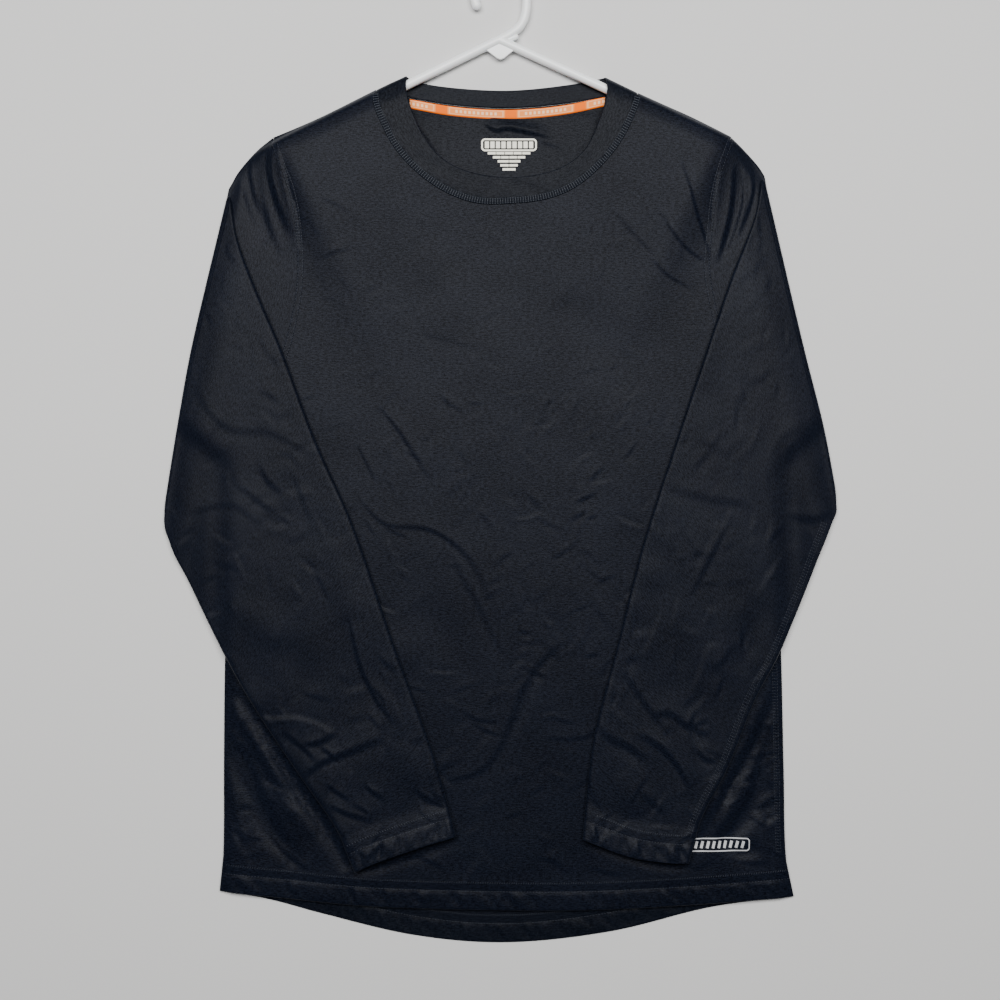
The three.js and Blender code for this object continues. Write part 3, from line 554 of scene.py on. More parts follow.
# Profile of a turned and coverstitched hem: height over the plain cloth by distance from the edge
HEM_DISTANCES = [0, 1.0, 2.6, 6, 10, 14.4, 15.8, 16.6, 17.6, 20, 23, 24.6, 26, HEM_BAND]
HEM_HEIGHTS = [0.0, 0.28, 0.4, 0.48, 0.48, 0.4, 0.18, -0.15, -0.08, 0.06, 0.18, 0.18, 0.1, 0]


def hem_relief(distance):
    """The turned hem's raised band, and the groove along its lower stitches."""
    return np.interp(distance, HEM_DISTANCES, HEM_HEIGHTS)


def to_part(points):
    return (np.asarray(points, float) - CENTRE) * MM


def make_mesh(name, vertices, faces, uv=None):
    """A mesh object from layout points in mm, smooth shaded."""
    mesh = bpy.data.meshes.new(name)
    mesh.from_pydata(to_part(vertices).tolist(), [], faces)
    mesh.validate()
    if uv is not None:
        layer = mesh.uv_layers.new(name="Cloth")
        index = np.zeros(len(mesh.loops), np.int32)
        mesh.loops.foreach_get("vertex_index", index)
        layer.data.foreach_set("uv", (np.asarray(uv, float)[index] * MM).astype(np.float32).ravel())
    mesh.shade_smooth()
    return add_object(name, mesh)


def add_object(name, data):
    obj = bpy.data.objects.new(name, data)
    bpy.context.scene.collection.objects.link(obj)
    return obj


def finish(obj, material, node=None):
    """Gives a piece its material and puts it on the one body, in place of a node where one is named."""
    obj.data.materials.append(material)
    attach(obj, "root")
    if node:
        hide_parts(node)


def quads(grid, flip=False):
    """Faces between the rows of an array of vertex numbers."""
    faces = np.stack([grid[:-1, :-1], grid[1:, :-1], grid[1:, 1:], grid[:-1, 1:]], -1).reshape(-1, 4)
    return faces[:, ::-1] if flip else faces


def coarse_underside(low, step):
    """Faces of the underside on every few rows and columns, joined to all the points of its border."""
    last_row, last_column = low.shape[0] - 1, low.shape[1] - 1
    rows = [*range(1, last_row - 1, step), last_row - 1]
    columns = [*range(1, last_column - 1, step), last_column - 1]
    inner = quads(low[np.ix_(rows, columns)], True).tolist()
    for a, b in zip(columns[:-1], columns[1:]):
        inner.append([*low[0, a:b + 1], low[1, b], low[1, a]])
        inner.append([low[-2, a], low[-2, b], *low[-1, a:b + 1][::-1]])
    for a, b in zip(rows[:-1], rows[1:]):
        inner.append([low[a, 0], low[a, 1], low[b, 1], *low[a + 1:b + 1, 0][::-1]])
        inner.append([low[a, -2], *low[a:b + 1, -1], low[b, -2]])
    for r in (0, last_row - 1):
        for c in (0, last_column - 1):
            inner.append([low[r, c], low[r, c + 1], low[r + 1, c + 1], low[r + 1, c]])
    return inner


def slab(name, places, under, upper, uv):
    """A closed sheet between an under and an upper height over the same grid of places."""
    rows, columns = places.shape[:2]
    count = rows * columns
    low = np.arange(count).reshape(rows, columns)
    high = low + count
    vertices = np.vstack([
        np.concatenate([places, under[..., None]], -1).reshape(-1, 3),
        np.concatenate([places, upper[..., None]], -1).reshape(-1, 3),
    ])
    faces = [
        quads(high), quads(np.stack([low[0], high[0]])), quads(np.stack([high[-1], low[-1]])),
        quads(np.stack([high[:, 0], low[:, 0]])), quads(np.stack([high[:, -1], low[:, -1]]), True),
    ]
    faces = np.vstack(faces).tolist() + coarse_underside(low, UNDERSIDE_STEP)
    used = np.zeros(2 * count, bool)
    used[[index for face in faces for index in face]] = True
    number = np.cumsum(used) - 1
    faces = [number[face].tolist() for face in faces]
    flat = uv.reshape(-1, 2)
    return make_mesh(name, vertices[used], faces, np.vstack([flat, flat])[used])


def double_wall(name, outer, inner, uv, flip):
    """A closed wall between two tubes, each an array of rings: its two faces and its two ends."""
    count = outer.shape[0] * outer.shape[1]
    out_index = np.arange(count).reshape(outer.shape[:2])
    out_index = np.column_stack([out_index, out_index[:, 0]])
    in_index = out_index + count
    faces = [
        quads(out_index, flip), quads(in_index, not flip),
        quads(np.stack([out_index[0], in_index[0]]), not flip),
        quads(np.stack([out_index[-1], in_index[-1]]), flip),
    ]
    vertices = np.vstack([outer.reshape(-1, 3), inner.reshape(-1, 3)])
    return make_mesh(name, vertices, np.vstack(faces).tolist(), uv)


def rim(under, upper, amount=0.32):
    """Rounds a sheet's cut edges by drawing its two faces together there."""
    for index in ((0, slice(None)), (-1, slice(None)), (slice(None), 0), (slice(None), -1)):
        middle = (under[index] + upper[index]) / 2
        under[index] = mix(under[index], middle, amount)
        upper[index] = mix(upper[index], middle, amount)


# Body panels: a grid between the top edge, the sides and the hem. Their edges meet the sleeves and the band
# with a gap, and the panels' undersides have fewer rows and columns than their upper faces.
UNDERSIDE_STEP = 4  # rows and columns of the upper face to one of the underside
PIT = 0.385  # share of a side that is armhole
SIDE_PULL = 6  # how quickly a side's curve fades towards the middle
CORNER_PULL = 12
EVEN_COLUMNS = 0.4  # share of even spacing in the columns, the rest follows the top edge
LAST_STEP = 1.2  # width of the column at the shoulder's end
TOP_ROWS = np.array([0, 1, 2.2, 4, 6, 8, 10, 12, 14, 16, 18.5, 21, 24, 27, 30])
FRONT_ROWS = 345
BACK_ROWS = 130
BACK_TOP = 110  # depth of the back that shows in the neck, with closer rows
INSIDE_LOW, INSIDE_HIGH, INSIDE_HALF = 262, 344, 92  # where the back shows in the neck
LOW_FADE, HIGH_FADE, SIDE_FADE = 12, 8, 16
INSIDE_AREA = (-130, 240), (130, 360)
TAIL_AREA = (-260, -400), (260, -320)
BACK_AIR = 0.5
BACK_GROUND = (0.2, 40)
BACK_HEM_RELIEF = 0.75
DEEPEST = -0.3


def side_edge(side):
    armhole = Curve(side["armhole"])
    seam = Curve(side["side"])

    def read(v):
        v = np.asarray(v, float)
        upper = armhole.at(v / PIT)
        lower = seam.at((v - PIT) / (1 - PIT))
        return np.where((v < PIT)[..., None], upper, lower)
    return read


def top_edge(neck_table, shoulder_count, neck_count):
    right = Curve(RIGHT["shoulder"])
    left = Curve(LEFT["shoulder"])
    neck = Curve(neck_table)
    steps = np.linspace(0, 1, shoulder_count + 1)
    steps = np.append(steps[:-1], [1 - LAST_STEP / right.length, 1])
    shoulder = np.sort(steps)[1:]
    return np.vstack([right.at(shoulder[::-1]), neck.at(np.linspace(0, 1, neck_count)), left.at(shoulder)])


def panel_places(top, hem, rows):
    """Places from the top edge down to the hem band, then straight rows to the hem's edge."""
    spacing = (top[:, 0] - top[0, 0]) / (top[-1, 0] - top[0, 0])
    across = EVEN_COLUMNS * np.linspace(0, 1, len(top)) + (1 - EVEN_COLUMNS) * spacing
    hem_points = hem.at(across)
    along = np.gradient(hem_points, axis=0)
    normal = np.stack([-along[:, 1], along[:, 0]], -1) / np.linalg.norm(along, axis=1)[:, None]
    right, left = side_edge(RIGHT), side_edge(LEFT)
    last = 1 - HEM_BAND / PANEL_LENGTH
    low = hem_points + normal * HEM_BAND
    low[0], low[-1] = right(last), left(last)
    for end, weight in ((0, (1 - across) ** CORNER_PULL), (-1, across ** CORNER_PULL)):
        pull = low[end] - hem_points[end] - normal[end] * HEM_BAND
        low[1:-1] += (weight[:, None] * pull)[1:-1]
    v = rows[:, None]
    straight = top[None] * (1 - v[..., None]) + low[None] * v[..., None]
    right_pull = right(rows * last) - mix(top[0], low[0], v)
    left_pull = left(rows * last) - mix(top[-1], low[-1], v)
    u = across[None, :, None]
    upper = straight + (1 - u) ** SIDE_PULL * right_pull[:, None] + u ** SIDE_PULL * left_pull[:, None]
    share = (1 - BAND_ROWS / HEM_BAND)[:, None, None]
    lower = low[None] * (1 - share) + hem_points[None] * share
    distance = np.concatenate([np.full(len(rows), HEM_BAND + 1), BAND_ROWS])
    return np.concatenate([upper, lower]), np.repeat(distance[:, None], len(top), 1)


# Distances of a hem's rows from its edge
BAND_ROWS = np.array([30, 28.5, 27.5, 26.5, 25.5, 24.5, 23, 21, 19.5, 18.7, 18, 17.3, 16.4, 15, 13, 11, 9, 7,
                      5, 3.4, 2.2, 1.2, 0.5, 0])


def front_panel(material):
    top = top_edge(FRONT_NECK, shoulder_count=40, neck_count=126)
    near = TOP_ROWS / PLAIN_LENGTH
    rows = np.concatenate([near, np.linspace(near[-1], 1, FRONT_ROWS)[1:]])
    places, distance = panel_places(top, Curve(FRONT_HEM), rows)
    x, y = places[..., 0], places[..., 1]
    under = FRONT_UNDER.read(x, y)
    upper = FRONT_TOP.read(x, y) + hem_relief(distance)
    rim(under, upper)
    obj = slab("front", places, under, upper, places)
    finish_cloth(obj, material, "front")
    return obj


def back_panel(material):
    top = top_edge(BACK_NECK, shoulder_count=28, neck_count=150)
    near = np.append([0, LAST_STEP], np.linspace(0, BACK_TOP, 56)[1:]) / PLAIN_LENGTH
    rows = np.concatenate([near, np.linspace(near[-1], 1, BACK_ROWS)[1:]])
    places, distance = panel_places(top, Curve(BACK_HEM), rows)
    x, y = places[..., 0], places[..., 1]
    under = np.zeros_like(x)
    inside = smooth((y - INSIDE_LOW) / LOW_FADE) * smooth((INSIDE_HIGH - y) / HIGH_FADE)
    inside *= smooth((INSIDE_HALF - np.abs(x)) / SIDE_FADE)
    folds = Field(*INSIDE_AREA)
    folds.add_creases(from_photo(BACK_CREASES))
    puckers = Field(*TAIL_AREA)
    puckers.add_creases(hem_puckers(Curve(BACK_HEM), sign=1, count=46, seed=17))
    shown = soft_floor(folds.read(x, y) + BACK_AIR + ground(x, y, BACK_GROUND, seed=31))
    hem = hem_relief(distance) * BACK_HEM_RELIEF + np.where(y < puckers.y[-1], puckers.read(x, y), 0)
    upper = WALL + np.maximum(np.where(y > folds.low[1], inside * shown, hem), DEEPEST)
    rim(under, upper)
    under[:] = 0
    obj = slab("back", places, under, upper, places)
    finish_cloth(obj, material, "back")
    return obj


def finish_cloth(obj, material, node):
    finish(obj, material, node)


# Sleeves: a flattened tube that leaves the armhole, turns over at the fold and crosses the front
def patch(start, end, top_side, under_side):
    """Places between four curves, by shares along (a column) and across (a row)."""
    a, b, c, d = start.at(0), start.at(1), end.at(0), end.at(1)

    def read(along, across):
        v, s = along[:, None, None], across[None, :, None]
        between = mix(start.at(across)[None], end.at(across)[None], v)
        sides = mix(top_side.at(along)[:, None], under_side.at(along)[:, None], s)
        return between + sides - mix(mix(a, b, s), mix(c, d, s), v)
    return read


# Distances of a sleeve's outer columns from its edges, its rows by share or angle, and its shaping
EDGE_STEPS = np.array([0, 0.12, 0.4, 0.9, 1.6, 2.6, 4.0, 6.0, 8.5])
SLEEVE_COLUMNS = 70
UPPER_ROWS = np.concatenate([[0, 0.015], np.linspace(0.04, 1, 34)])
TURN_ROWS = np.linspace(0, math.pi, 12)[1:]
FOREARM_ROWS = np.linspace(0, 1, 148)[1:]
FAR = 99.0  # a distance from the edge at which no hem shows
SAG_START = 36  # distance past what lies under it at which a sleeve begins to drop
SAG_LENGTH = 24
FIELD_MARGIN = 12
EDGE_ROLL = 3.2  # radius of a sleeve's rounded edges, which grows with the air in it
ROLL_SHARE = 0.6
TIGHTER_TURN = (0.9, 0.75)  # share across at which the turn starts to tighten, and by how much
PUFF_START = 0.12  # share of the forearm over which the air comes in
CREASE_START = 0.06
LIFT_START = 0.72
SETTLE_START = 0.75  # share of the upper part after which its upper wall lies flat at the fold
SETTLE_EDGE = (18, 20)
SLEEVE_GROUNDS = (0.2, 90), (0.03, 40)
SLEEVE_CRINKLES = 240
SLEEVE_CRINKLE_HEIGHT = 0.75
CUFF_PUCKERS = 13
CUFF_RELIEF = 0.75  # height of a cuff's turned hem against the body's
INNER_RELIEF = 0.8  # the inner face follows the relief a little less
CUFF_LIFT = 1.6
MOUTH_LIFT = 2.4
MOUTH_PUFF = 0.6


class Sleeve:
    """One sleeve's places and heights, by row along it and share across it."""

    def __init__(self, side, table, seed):
        self.side = side
        sign = side["sign"]
        shift = np.array([sign, 0.0])
        self.armhole = Curve(np.array(side["armhole"]) + SEAM_GAP * shift)
        self.fold = Curve(np.array(side["fold"]) - FOLD_AXIS * shift)
        self.cuff = Curve(side["cuff"])
        first, last = self.fold.at(0), self.fold.at(1)
        span = np.abs(last - first) / np.linalg.norm(last - first)
        self.normal = np.array([sign * span[1], span[0]])
        top = [tuple(self.armhole.at(0)), *side["sleeve_top"][1:-1], tuple(first)]
        self.upper = patch(self.armhole, self.fold, Curve(top), Curve([self.armhole.at(1), last]))
        inner = Curve([tuple(first), *side["inner"][1:]])
        outer = Curve([tuple(last), *side["outer"][1:]])
        keep = (1 - HEM_BAND / inner.length, 1 - HEM_BAND / outer.length)
        self.inner, self.outer = inner, outer
        ends = inner.at(keep[0]), outer.at(keep[1])
        shares = np.linspace(0, 1, 24)[:, None]
        raised = self.cuff.at(shares[:, 0]) + (ends[0] - self.cuff.at(0)) * (1 - shares)
        self.cuff_top = Curve(raised + (ends[1] - self.cuff.at(1)) * shares, 6)
        self.forearm = patch(self.fold, self.cuff_top, inner.part(0, keep[0]), outer.part(0, keep[1]))
        pit = np.array(side["armhole"][-1], float)
        corner = np.array(side["fold"][-1], float)
        self.pit, self.under_dir = pit, (corner - pit) / np.linalg.norm(corner - pit)
        self.relief = self.own_field(table, seed)

    def sag(self, x, y):
        """How far the turned sleeve drops where nothing lies under it."""
        sign = self.side["sign"]
        cross = self.under_dir[0] * (y - self.pit[1]) - self.under_dir[1] * (x - self.pit[0])
        inside = self.side["side"][2][0] * sign - x * sign
        cover = np.maximum(sign * cross, inside)
        return (FOLD_AXIS - GAP) * (1 - smooth((cover + SAG_START) / SAG_LENGTH))

    def rows(self):
        """Rows along the sleeve: kind, share or angle, and distance from the cuff's edge."""
        parts = (("upper", UPPER_ROWS), ("turn", TURN_ROWS), ("forearm", FOREARM_ROWS))
        plain = [(kind, amount, FAR) for kind, amounts in parts for amount in amounts]
        return plain + [("band", 1 - distance / HEM_BAND, distance) for distance in BAND_ROWS]

    def places(self, kind, amount, across):
        if kind == "upper":
            return self.upper(np.array([amount]), across)[0]
        if kind == "turn":
            return self.fold.at(across)
        if kind == "forearm":
            return self.forearm(np.array([amount]), across)[0]
        return mix(self.cuff_top.at(across), self.cuff.at(across), amount)

    def base(self, x, y):
        """Underside of the turned sleeve."""
        return FRONT_BRIDGE.read(x, y) + 2 * GAP - self.sag(x, y)

    def puff(self, kind, amount):
        """Air in the sleeve, in mm over its two walls, and how far its mouth opens."""
        full = self.side["puff"]
        if kind == "forearm":
            return full * smooth(amount / PUFF_START)
        return full + MOUTH_PUFF * amount if kind == "band" else 0.0

    def own_field(self, table, seed):
        """Relief of the turned sleeve's upper face."""
        places = np.vstack([self.inner.points, self.outer.points, self.cuff.points])
        field = Field(places.min(0) - FIELD_MARGIN, places.max(0) + FIELD_MARGIN)
        x, y = field.grid_x, field.grid_y
        broad, fine = SLEEVE_GROUNDS
        field.values = ground(x, y, broad, seed) + ground(x, y, fine, seed + 1)
        puckers = hem_puckers(self.cuff, self.side["sign"], CUFF_PUCKERS, seed=seed + 3)
        field.add_creases(from_photo(table) + puckers)
        small = crinkles(SLEEVE_CRINKLES, places.min(0), places.max(0), seed + 4, SLEEVE_CRINKLE_HEIGHT)
        field.add_creases(small)
        return field

    def lift(self, kind, amount):
        """The cuff's end stands a little off what it lies on."""
        if kind == "forearm":
            return CUFF_LIFT * smooth((amount - LIFT_START) / (1 - LIFT_START))
        return CUFF_LIFT + MOUTH_LIFT * amount if kind == "band" else 0.0

    def upper_wall(self, wall, half, xy, edge, amount, round_edge):
        """The part from the armhole to the fold: its upper wall rises with the front beside it."""
        level = WALL + GAP / 2 + wall * half
        if wall > 0:
            near_fold = smooth((amount - SETTLE_START) / (1 - SETTLE_START))
            flat = near_fold * smooth((edge - SETTLE_EDGE[0]) / SETTLE_EDGE[1])
            level += (FRONT_UNDER.read(*xy.T) - FRONT_LEVEL) * round_edge * (1 - flat)
        return np.column_stack([xy, level])

    def turn_wall(self, wall, half, xy, across, amount):
        """The half turn at the fold, tighter at its lower end."""
        radius = FOLD_AXIS - (WALL + GAP / 2 + wall * half)
        start, tighter = TIGHTER_TURN
        out = radius * (1 - tighter * smooth((across - start) / (1 - start))) * math.sin(amount)
        return np.column_stack([xy + self.normal * out[:, None], FOLD_AXIS - radius * math.cos(amount)])

    def turned_wall(self, wall, thick, xy, base, relief, round_edge):
        """The part that lies on the front, upside down: its first wall is the lower one."""
        top = soft_floor(thick + relief)
        return np.column_stack([xy, base + top / 2 - wall * (top / 2) * round_edge])

    def section(self, kind, amount, distance, margin):
        """A closed loop of points: wall A, the under-arm end, wall B, the top end. Margin insets the loop."""
        probe = self.places(kind, amount, np.array([0.0, 1.0]))
        width = np.linalg.norm(probe[1] - probe[0])
        inset = EDGE_STEPS + margin
        middle = np.linspace(inset[-1], width - inset[-1], SLEEVE_COLUMNS)[1:-1]
        edge = np.concatenate([inset, middle, width - inset[::-1]])
        across = edge / width
        near = np.minimum(edge, width - edge) - margin
        thick = 2 * WALL + GAP - 2 * margin + self.puff(kind, amount)
        roll = EDGE_ROLL + ROLL_SHARE * (thick - 2)
        round_edge = np.sqrt(np.clip(1 - (1 - np.clip(near / roll, 0, 1)) ** 2, 0, 1))
        xy = self.places(kind, amount, across)
        half = (thick / 2) * round_edge
        if kind == "upper":
            a, b = (self.upper_wall(wall, half, xy, edge, amount, round_edge) for wall in (1, -1))
        elif kind == "turn":
            a, b = (self.turn_wall(wall, half, xy, across, amount) for wall in (1, -1))
        else:
            base = self.base(*xy.T) + self.lift(kind, amount) + margin
            relief = self.relief.read(*xy.T) + CUFF_RELIEF * hem_relief(distance)
            relief *= smooth(amount / CREASE_START) if kind == "forearm" else 1.0
            relief *= INNER_RELIEF if margin else 1.0
            a, b = (self.turned_wall(wall, thick, xy, base, relief, round_edge) for wall in (1, -1))
        ring = np.vstack([a, b[::-1][1:-1]])
        uv = np.concatenate([edge, (2 * width - edge)[::-1][1:-1]])
        return ring, uv

    def build(self, name, material, flat, area):
        rings = {0.0: [], WALL: []}
        uvs = {0.0: [], WALL: []}
        reach = 0.0
        before = None
        for kind, amount, distance in self.rows():
            for margin in rings:
                ring, uv = self.section(kind, amount, distance, margin)
                rings[margin].append(ring)
                uvs[margin].append(uv)
            centre = rings[0.0][-1].mean(0)
            reach += 0 if before is None else np.linalg.norm(centre - before)
            before = centre
            for rows in uvs.values():
                rows[-1] = np.column_stack([rows[-1], np.full(len(rows[-1]), reach)])
        uv = np.vstack([np.array(rows).reshape(-1, 2) for rows in uvs.values()])
        obj = double_wall(name, np.array(rings[0.0]), np.array(rings[WALL]), uv, self.side["sign"] > 0)
        finish_cloth(obj, material, name)
        return obj


# Neckband: a ring whose front half rides over the hanger and whose back half lies flat
NECK_CENTRE = np.array([0.0, 372.0])
NECK_STEPS = np.array([1.2, 2, 3, 4.2, 5.6, 7, 9, 11, 13, 15, 17.5, 20, 23, 26, 30])
BACK_SHARES = np.concatenate([[0.012], np.linspace(0.03, 0.97, 64), [0.988]])
BAND_WIDTH = 20
BAND_LANES = np.array([0, 0.03, 0.1, 0.2, 0.32, 0.44, 0.56, 0.68, 0.8, 0.88, 0.94, 0.975, 1.0])
BAND_CROWN = np.array([0.55, 0.8, 0.95, 1, 1, 1, 1, 1, 1, 1, 0.98, 0.92, 0.3])
BAND_MIDDLE = 0.45  # height of the ring's edges as a share of its wall
BAND_END_INSET = 1.1
FRONT_WRINKLES = (0.18, 12)
BACK_WRINKLES = (0.12, 16)
TAPE_DROPS = np.array([2 * GAP, 0.9, 1.6, 3, 5, 6.4, 7.3, TAPE_WIDTH])
TAPE_CROWN = np.array([0.4, 0.85, 1, 1, 1, 1, 0.85, 0.4])
TAPE_RIPPLE = (0.16, 26)
HIGHEST_RIPPLE = 0.5


def between(a, b, share, lane):
    return mix(a.at(share), b.at(share), lane)


def inside_seam(table, steps):
    """A neck seam moved into the band by the seam's gap times each point's step, the ends inwards too."""
    seam = np.array(table, float) + SEAM_GAP * steps
    seam[[0, -1], 0] -= np.sign(seam[[0, -1], 0]) * SEAM_GAP
    return Curve(seam)


def neckband(material):
    away = NECK_CENTRE - np.array(FRONT_NECK)
    away /= np.linalg.norm(away, axis=1)[:, None]
    away[[0, -1]] = 0
    up = np.tile([0.0, 1.0], (len(BACK_NECK), 1))
    up[[0, -1]] *= 2
    front_curves = inside_seam(FRONT_NECK, away), Curve(FRONT_FREE)
    back_curves = inside_seam(BACK_NECK, up), Curve(BACK_FREE)
    near = NECK_STEPS / front_curves[0].length
    front_shares = np.concatenate([near, np.linspace(near[-1], 1 - near[-1], 90)[1:-1], 1 - near[::-1]])

    def front_row(lane, full, inner):
        xy = between(*front_curves, front_shares, lane)
        x, y = xy.T
        under = FRONT_UNDER.read(x, y) + GAP
        thick = BAND_WALL * FRONT_SLOPE.read(x, y)
        face = under if inner else under + thick
        wrinkle = 0 if inner else ground(x, y, FRONT_WRINKLES, seed=61, count=7) * full
        return np.column_stack([xy, mix(under + thick * BAND_MIDDLE, face, full) + wrinkle])

    def back_row(lane, full, inner):
        xy = between(*back_curves, BACK_SHARES[::-1], lane)
        z = np.zeros(len(xy))
        if inner:
            wrinkle = ground(*xy.T, BACK_WRINKLES, seed=63, count=7) * full
            z += mix(BACK_BAND_WALL / 2, BACK_BAND_WALL, full) + wrinkle
        return np.column_stack([xy, z])

    def end_point(share, lane, inner):
        x, y = between(*front_curves, share, lane)
        inset = BAND_END_INSET if inner else 0
        return [[x - math.copysign(inset, x), y - inset / 2, FRONT_LEVEL + 2 * GAP]]

    def rings(inner):
        return np.array([
            np.vstack([end_point(0.0, lane, inner), front_row(lane, full, inner),
                       end_point(1.0, lane, inner), back_row(lane, full, inner)])
            for lane, full in zip(BAND_LANES, BAND_CROWN)])

    outer = rings(False)
    reach = np.cumsum(np.linalg.norm(np.diff(outer[0], axis=0, prepend=outer[0][:1]), axis=1))
    uv = np.stack(np.broadcast_arrays(reach[None], BAND_LANES[:, None] * BAND_WIDTH), -1).reshape(-1, 2)
    obj = double_wall("neckband", outer, rings(True), np.vstack([uv, uv]), True)
    finish_cloth(obj, material, "neckband")


def neck_tape(material):
    top = Curve(TAPE_TOP)
    share = np.linspace(0, 1, 110)
    places = top.at(share)[None] - np.stack([0 * TAPE_DROPS, TAPE_DROPS], -1)[:, None]
    x, y = places[..., 0], places[..., 1]
    ripple = TAPE_RIPPLE[0] + ground(x, y, TAPE_RIPPLE, seed=71, count=6)
    under = np.full_like(x, FRONT_LEVEL)
    upper = FRONT_LEVEL + TAPE_WALL * TAPE_CROWN[:, None] + np.clip(ripple, 0, HIGHEST_RIPPLE)
    uv = np.stack(np.broadcast_arrays(share[None] * top.length, TAPE_DROPS[:, None]), -1)
    obj = slab("neck_tape", places, under, upper, uv)
    finish_cloth(obj, material, "neck_tape")


# Threads: place and size of a spindle's rings as shares, and the shape of the strip under a flat seam
SPINDLE_RINGS = ((0.12, 0.8), (0.5, 1.0), (0.88, 0.8))
SPINDLE_POINTS = 14
STRIP_LANES = np.array([-1, -0.8, -0.4, 0, 0.4, 0.8, 1])
STRIP_CROWN = np.array([0, 0.75, 1, 0.85, 1, 0.75, 0])
STRIP_PITCH = 2.5
STRIP_DEPTH = 0.25
STRIP_WALL = 0.3

# Seams: pitch, distance of the rows and ends of the rungs from the line, each stitch's share of the pitch,
# how far the rungs lean along the line, and how far rows and rungs stand off the cloth
FLAT_SEAM = {"pitch": 2.6, "row": 2.1, "rung": 1.6, "stitch": 0.7, "lean": 1.0, "row_lift": 0.14,
             "rung_lift": -0.04}
NECK_SEAM = {"pitch": 2.2, "row": 2.1, "rung": 2.1, "stitch": 0.8, "lean": 0.3, "row_lift": 0.22,
             "rung_lift": 0.24}
HEM_SEAM = {"pitch": 2.6, "stitch": 0.5, "row_lift": 0.04, "rung_pitch": 2.1, "rung": 0.9, "lean": 0.9,
            "rung_lift": 0.08}
RADIUS = {"neck": 0.28, "armhole": 0.16, "side": 0.15, "underarm": 0.14, "hem": 0.17}
NECK_STRIP = {"half": 2.8, "lift": 0.16}
ARMHOLE_STRIP = {"half": 2.6, "lift": 0.12}
NECK_SHOWN = (0.02, 0.98)
ARMHOLE_SHOWN = (0.015, 0.82)
SIDE_SHOWN = (0.47, 0.9)
UNDERARM_SHOWN = (0.02, 0.93)
SIDE_SEAM_INSET = 6.5
UNDERARM_INSET = 7.0


def threads(name, pairs, radius, material):
    """Many short threads as one mesh, from pairs of starts and ends: each is a small four-sided spindle."""
    starts, ends = (np.vstack(group) for group in zip(*pairs))
    step = ends - starts
    ahead = step / np.linalg.norm(step, axis=1)[:, None]
    side = np.stack([-ahead[:, 1], ahead[:, 0], 0 * ahead[:, 0]], -1)
    side /= np.linalg.norm(side, axis=1)[:, None]
    up = np.cross(ahead, side)
    rings = []
    for share, size in SPINDLE_RINGS:
        middle = starts + step * share
        for k in range(4):
            angle = math.pi / 4 + k * math.pi / 2
            rings.append(middle + radius * size * (side * math.cos(angle) + up * math.sin(angle)))
    vertices = np.stack([starts, *rings, ends], 1)
    faces = []
    for k in range(4):
        n = (k + 1) % 4
        faces += [[0, 1 + n, 1 + k], [SPINDLE_POINTS - 1, 9 + k, 9 + n]]
        for low, high in ((1, 5), (5, 9)):
            faces += [[low + k, low + n, high + n], [low + k, high + n, high + k]]
    first = SPINDLE_POINTS * np.arange(len(starts))[:, None, None]
    obj = make_mesh(name, vertices.reshape(-1, 3), (np.array(faces)[None] + first).reshape(-1, 3).tolist())
    finish(obj, material)


def on_height(xy, height, lift):
    return np.column_stack([xy, height(xy[:, 0], xy[:, 1]) + lift])


def row_of_stitches(line, offset, height, pitch, share, lift, first=0.0, last=1.0):
    """Start and end points of a row of stitches along a curve, on a height."""
    count = int(line.length * (last - first) / pitch)
    at, ahead = offset_line(line, offset, count, first, last)
    half = ahead * pitch * share / 2
    return on_height(at - half, height, lift), on_height(at + half, height, lift)


def rungs(line, low, high, height, pitch, lean, lift, first=0.0, last=1.0):
    """Cross threads between two offsets of a curve, leaning along it."""
    count = int(line.length * (last - first) / pitch)
    at, ahead = offset_line(line, low, count, first, last)
    to, _ = offset_line(line, high, count, first, last)
    return on_height(at - ahead * lean / 2, height, lift), on_height(to + ahead * lean / 2, height, lift)


def seam_strip(name, line, height, material, first, last, half, lift):
    """The slightly raised band of thread that covers a seam."""
    length = line.length * (last - first)
    count = int(length / STRIP_PITCH)
    offsets = STRIP_LANES * half
    places = np.array([offset_line(line, offset, count, first, last)[0] for offset in offsets])
    under = height(places[..., 0], places[..., 1]) - STRIP_DEPTH
    upper = under + STRIP_WALL + lift * STRIP_CROWN[:, None]
    uv = np.stack(np.broadcast_arrays(np.linspace(0, length, count)[None], offsets[:, None]), -1)
    finish(slab(name, places, under, upper, uv), material)


def neck_height(x, y):
    """Just under the band's upper face at the neck seam."""
    return FRONT_UNDER.read(x, y) + GAP + BAND_WALL * FRONT_SLOPE.read(x, y) - STRIP_DEPTH


def flat_seam(line, height, first=0.0, last=1.0, seam=FLAT_SEAM):
    """The threads of a flat seam: two rows with fine slanting threads between them."""
    pitch, row, rung = seam["pitch"], seam["row"], seam["rung"]
    pairs = [row_of_stitches(line, offset, height, pitch, seam["stitch"], seam["row_lift"], first, last)
             for offset in (-row, row)]
    pairs.append(rungs(line, -rung, rung, height, pitch, seam["lean"], seam["rung_lift"], first, last))
    return pairs


def neck_stitches(cloth, thread):
    line = Curve(FRONT_NECK)
    # The strip takes the darker copy of the knit, painted shade along and between the stitches.
    seam_strip("neck_seam", line, neck_height, cloth, *NECK_SHOWN, **NECK_STRIP)
    threads("neck_stitches", flat_seam(line, neck_height, *NECK_SHOWN, NECK_SEAM), RADIUS["neck"], thread)


def armhole_stitches(cloth, thread):
    pairs = []
    for side, name in ((RIGHT, "right"), (LEFT, "left")):
        seam = Curve(side["armhole"])
        seam_strip(f"armhole_seam_{name}", seam, FRONT_TOP.read, cloth, *ARMHOLE_SHOWN, **ARMHOLE_STRIP)
        pairs += flat_seam(seam, FRONT_TOP.read, *ARMHOLE_SHOWN)
    threads("armhole_stitches", pairs, RADIUS["armhole"], thread)


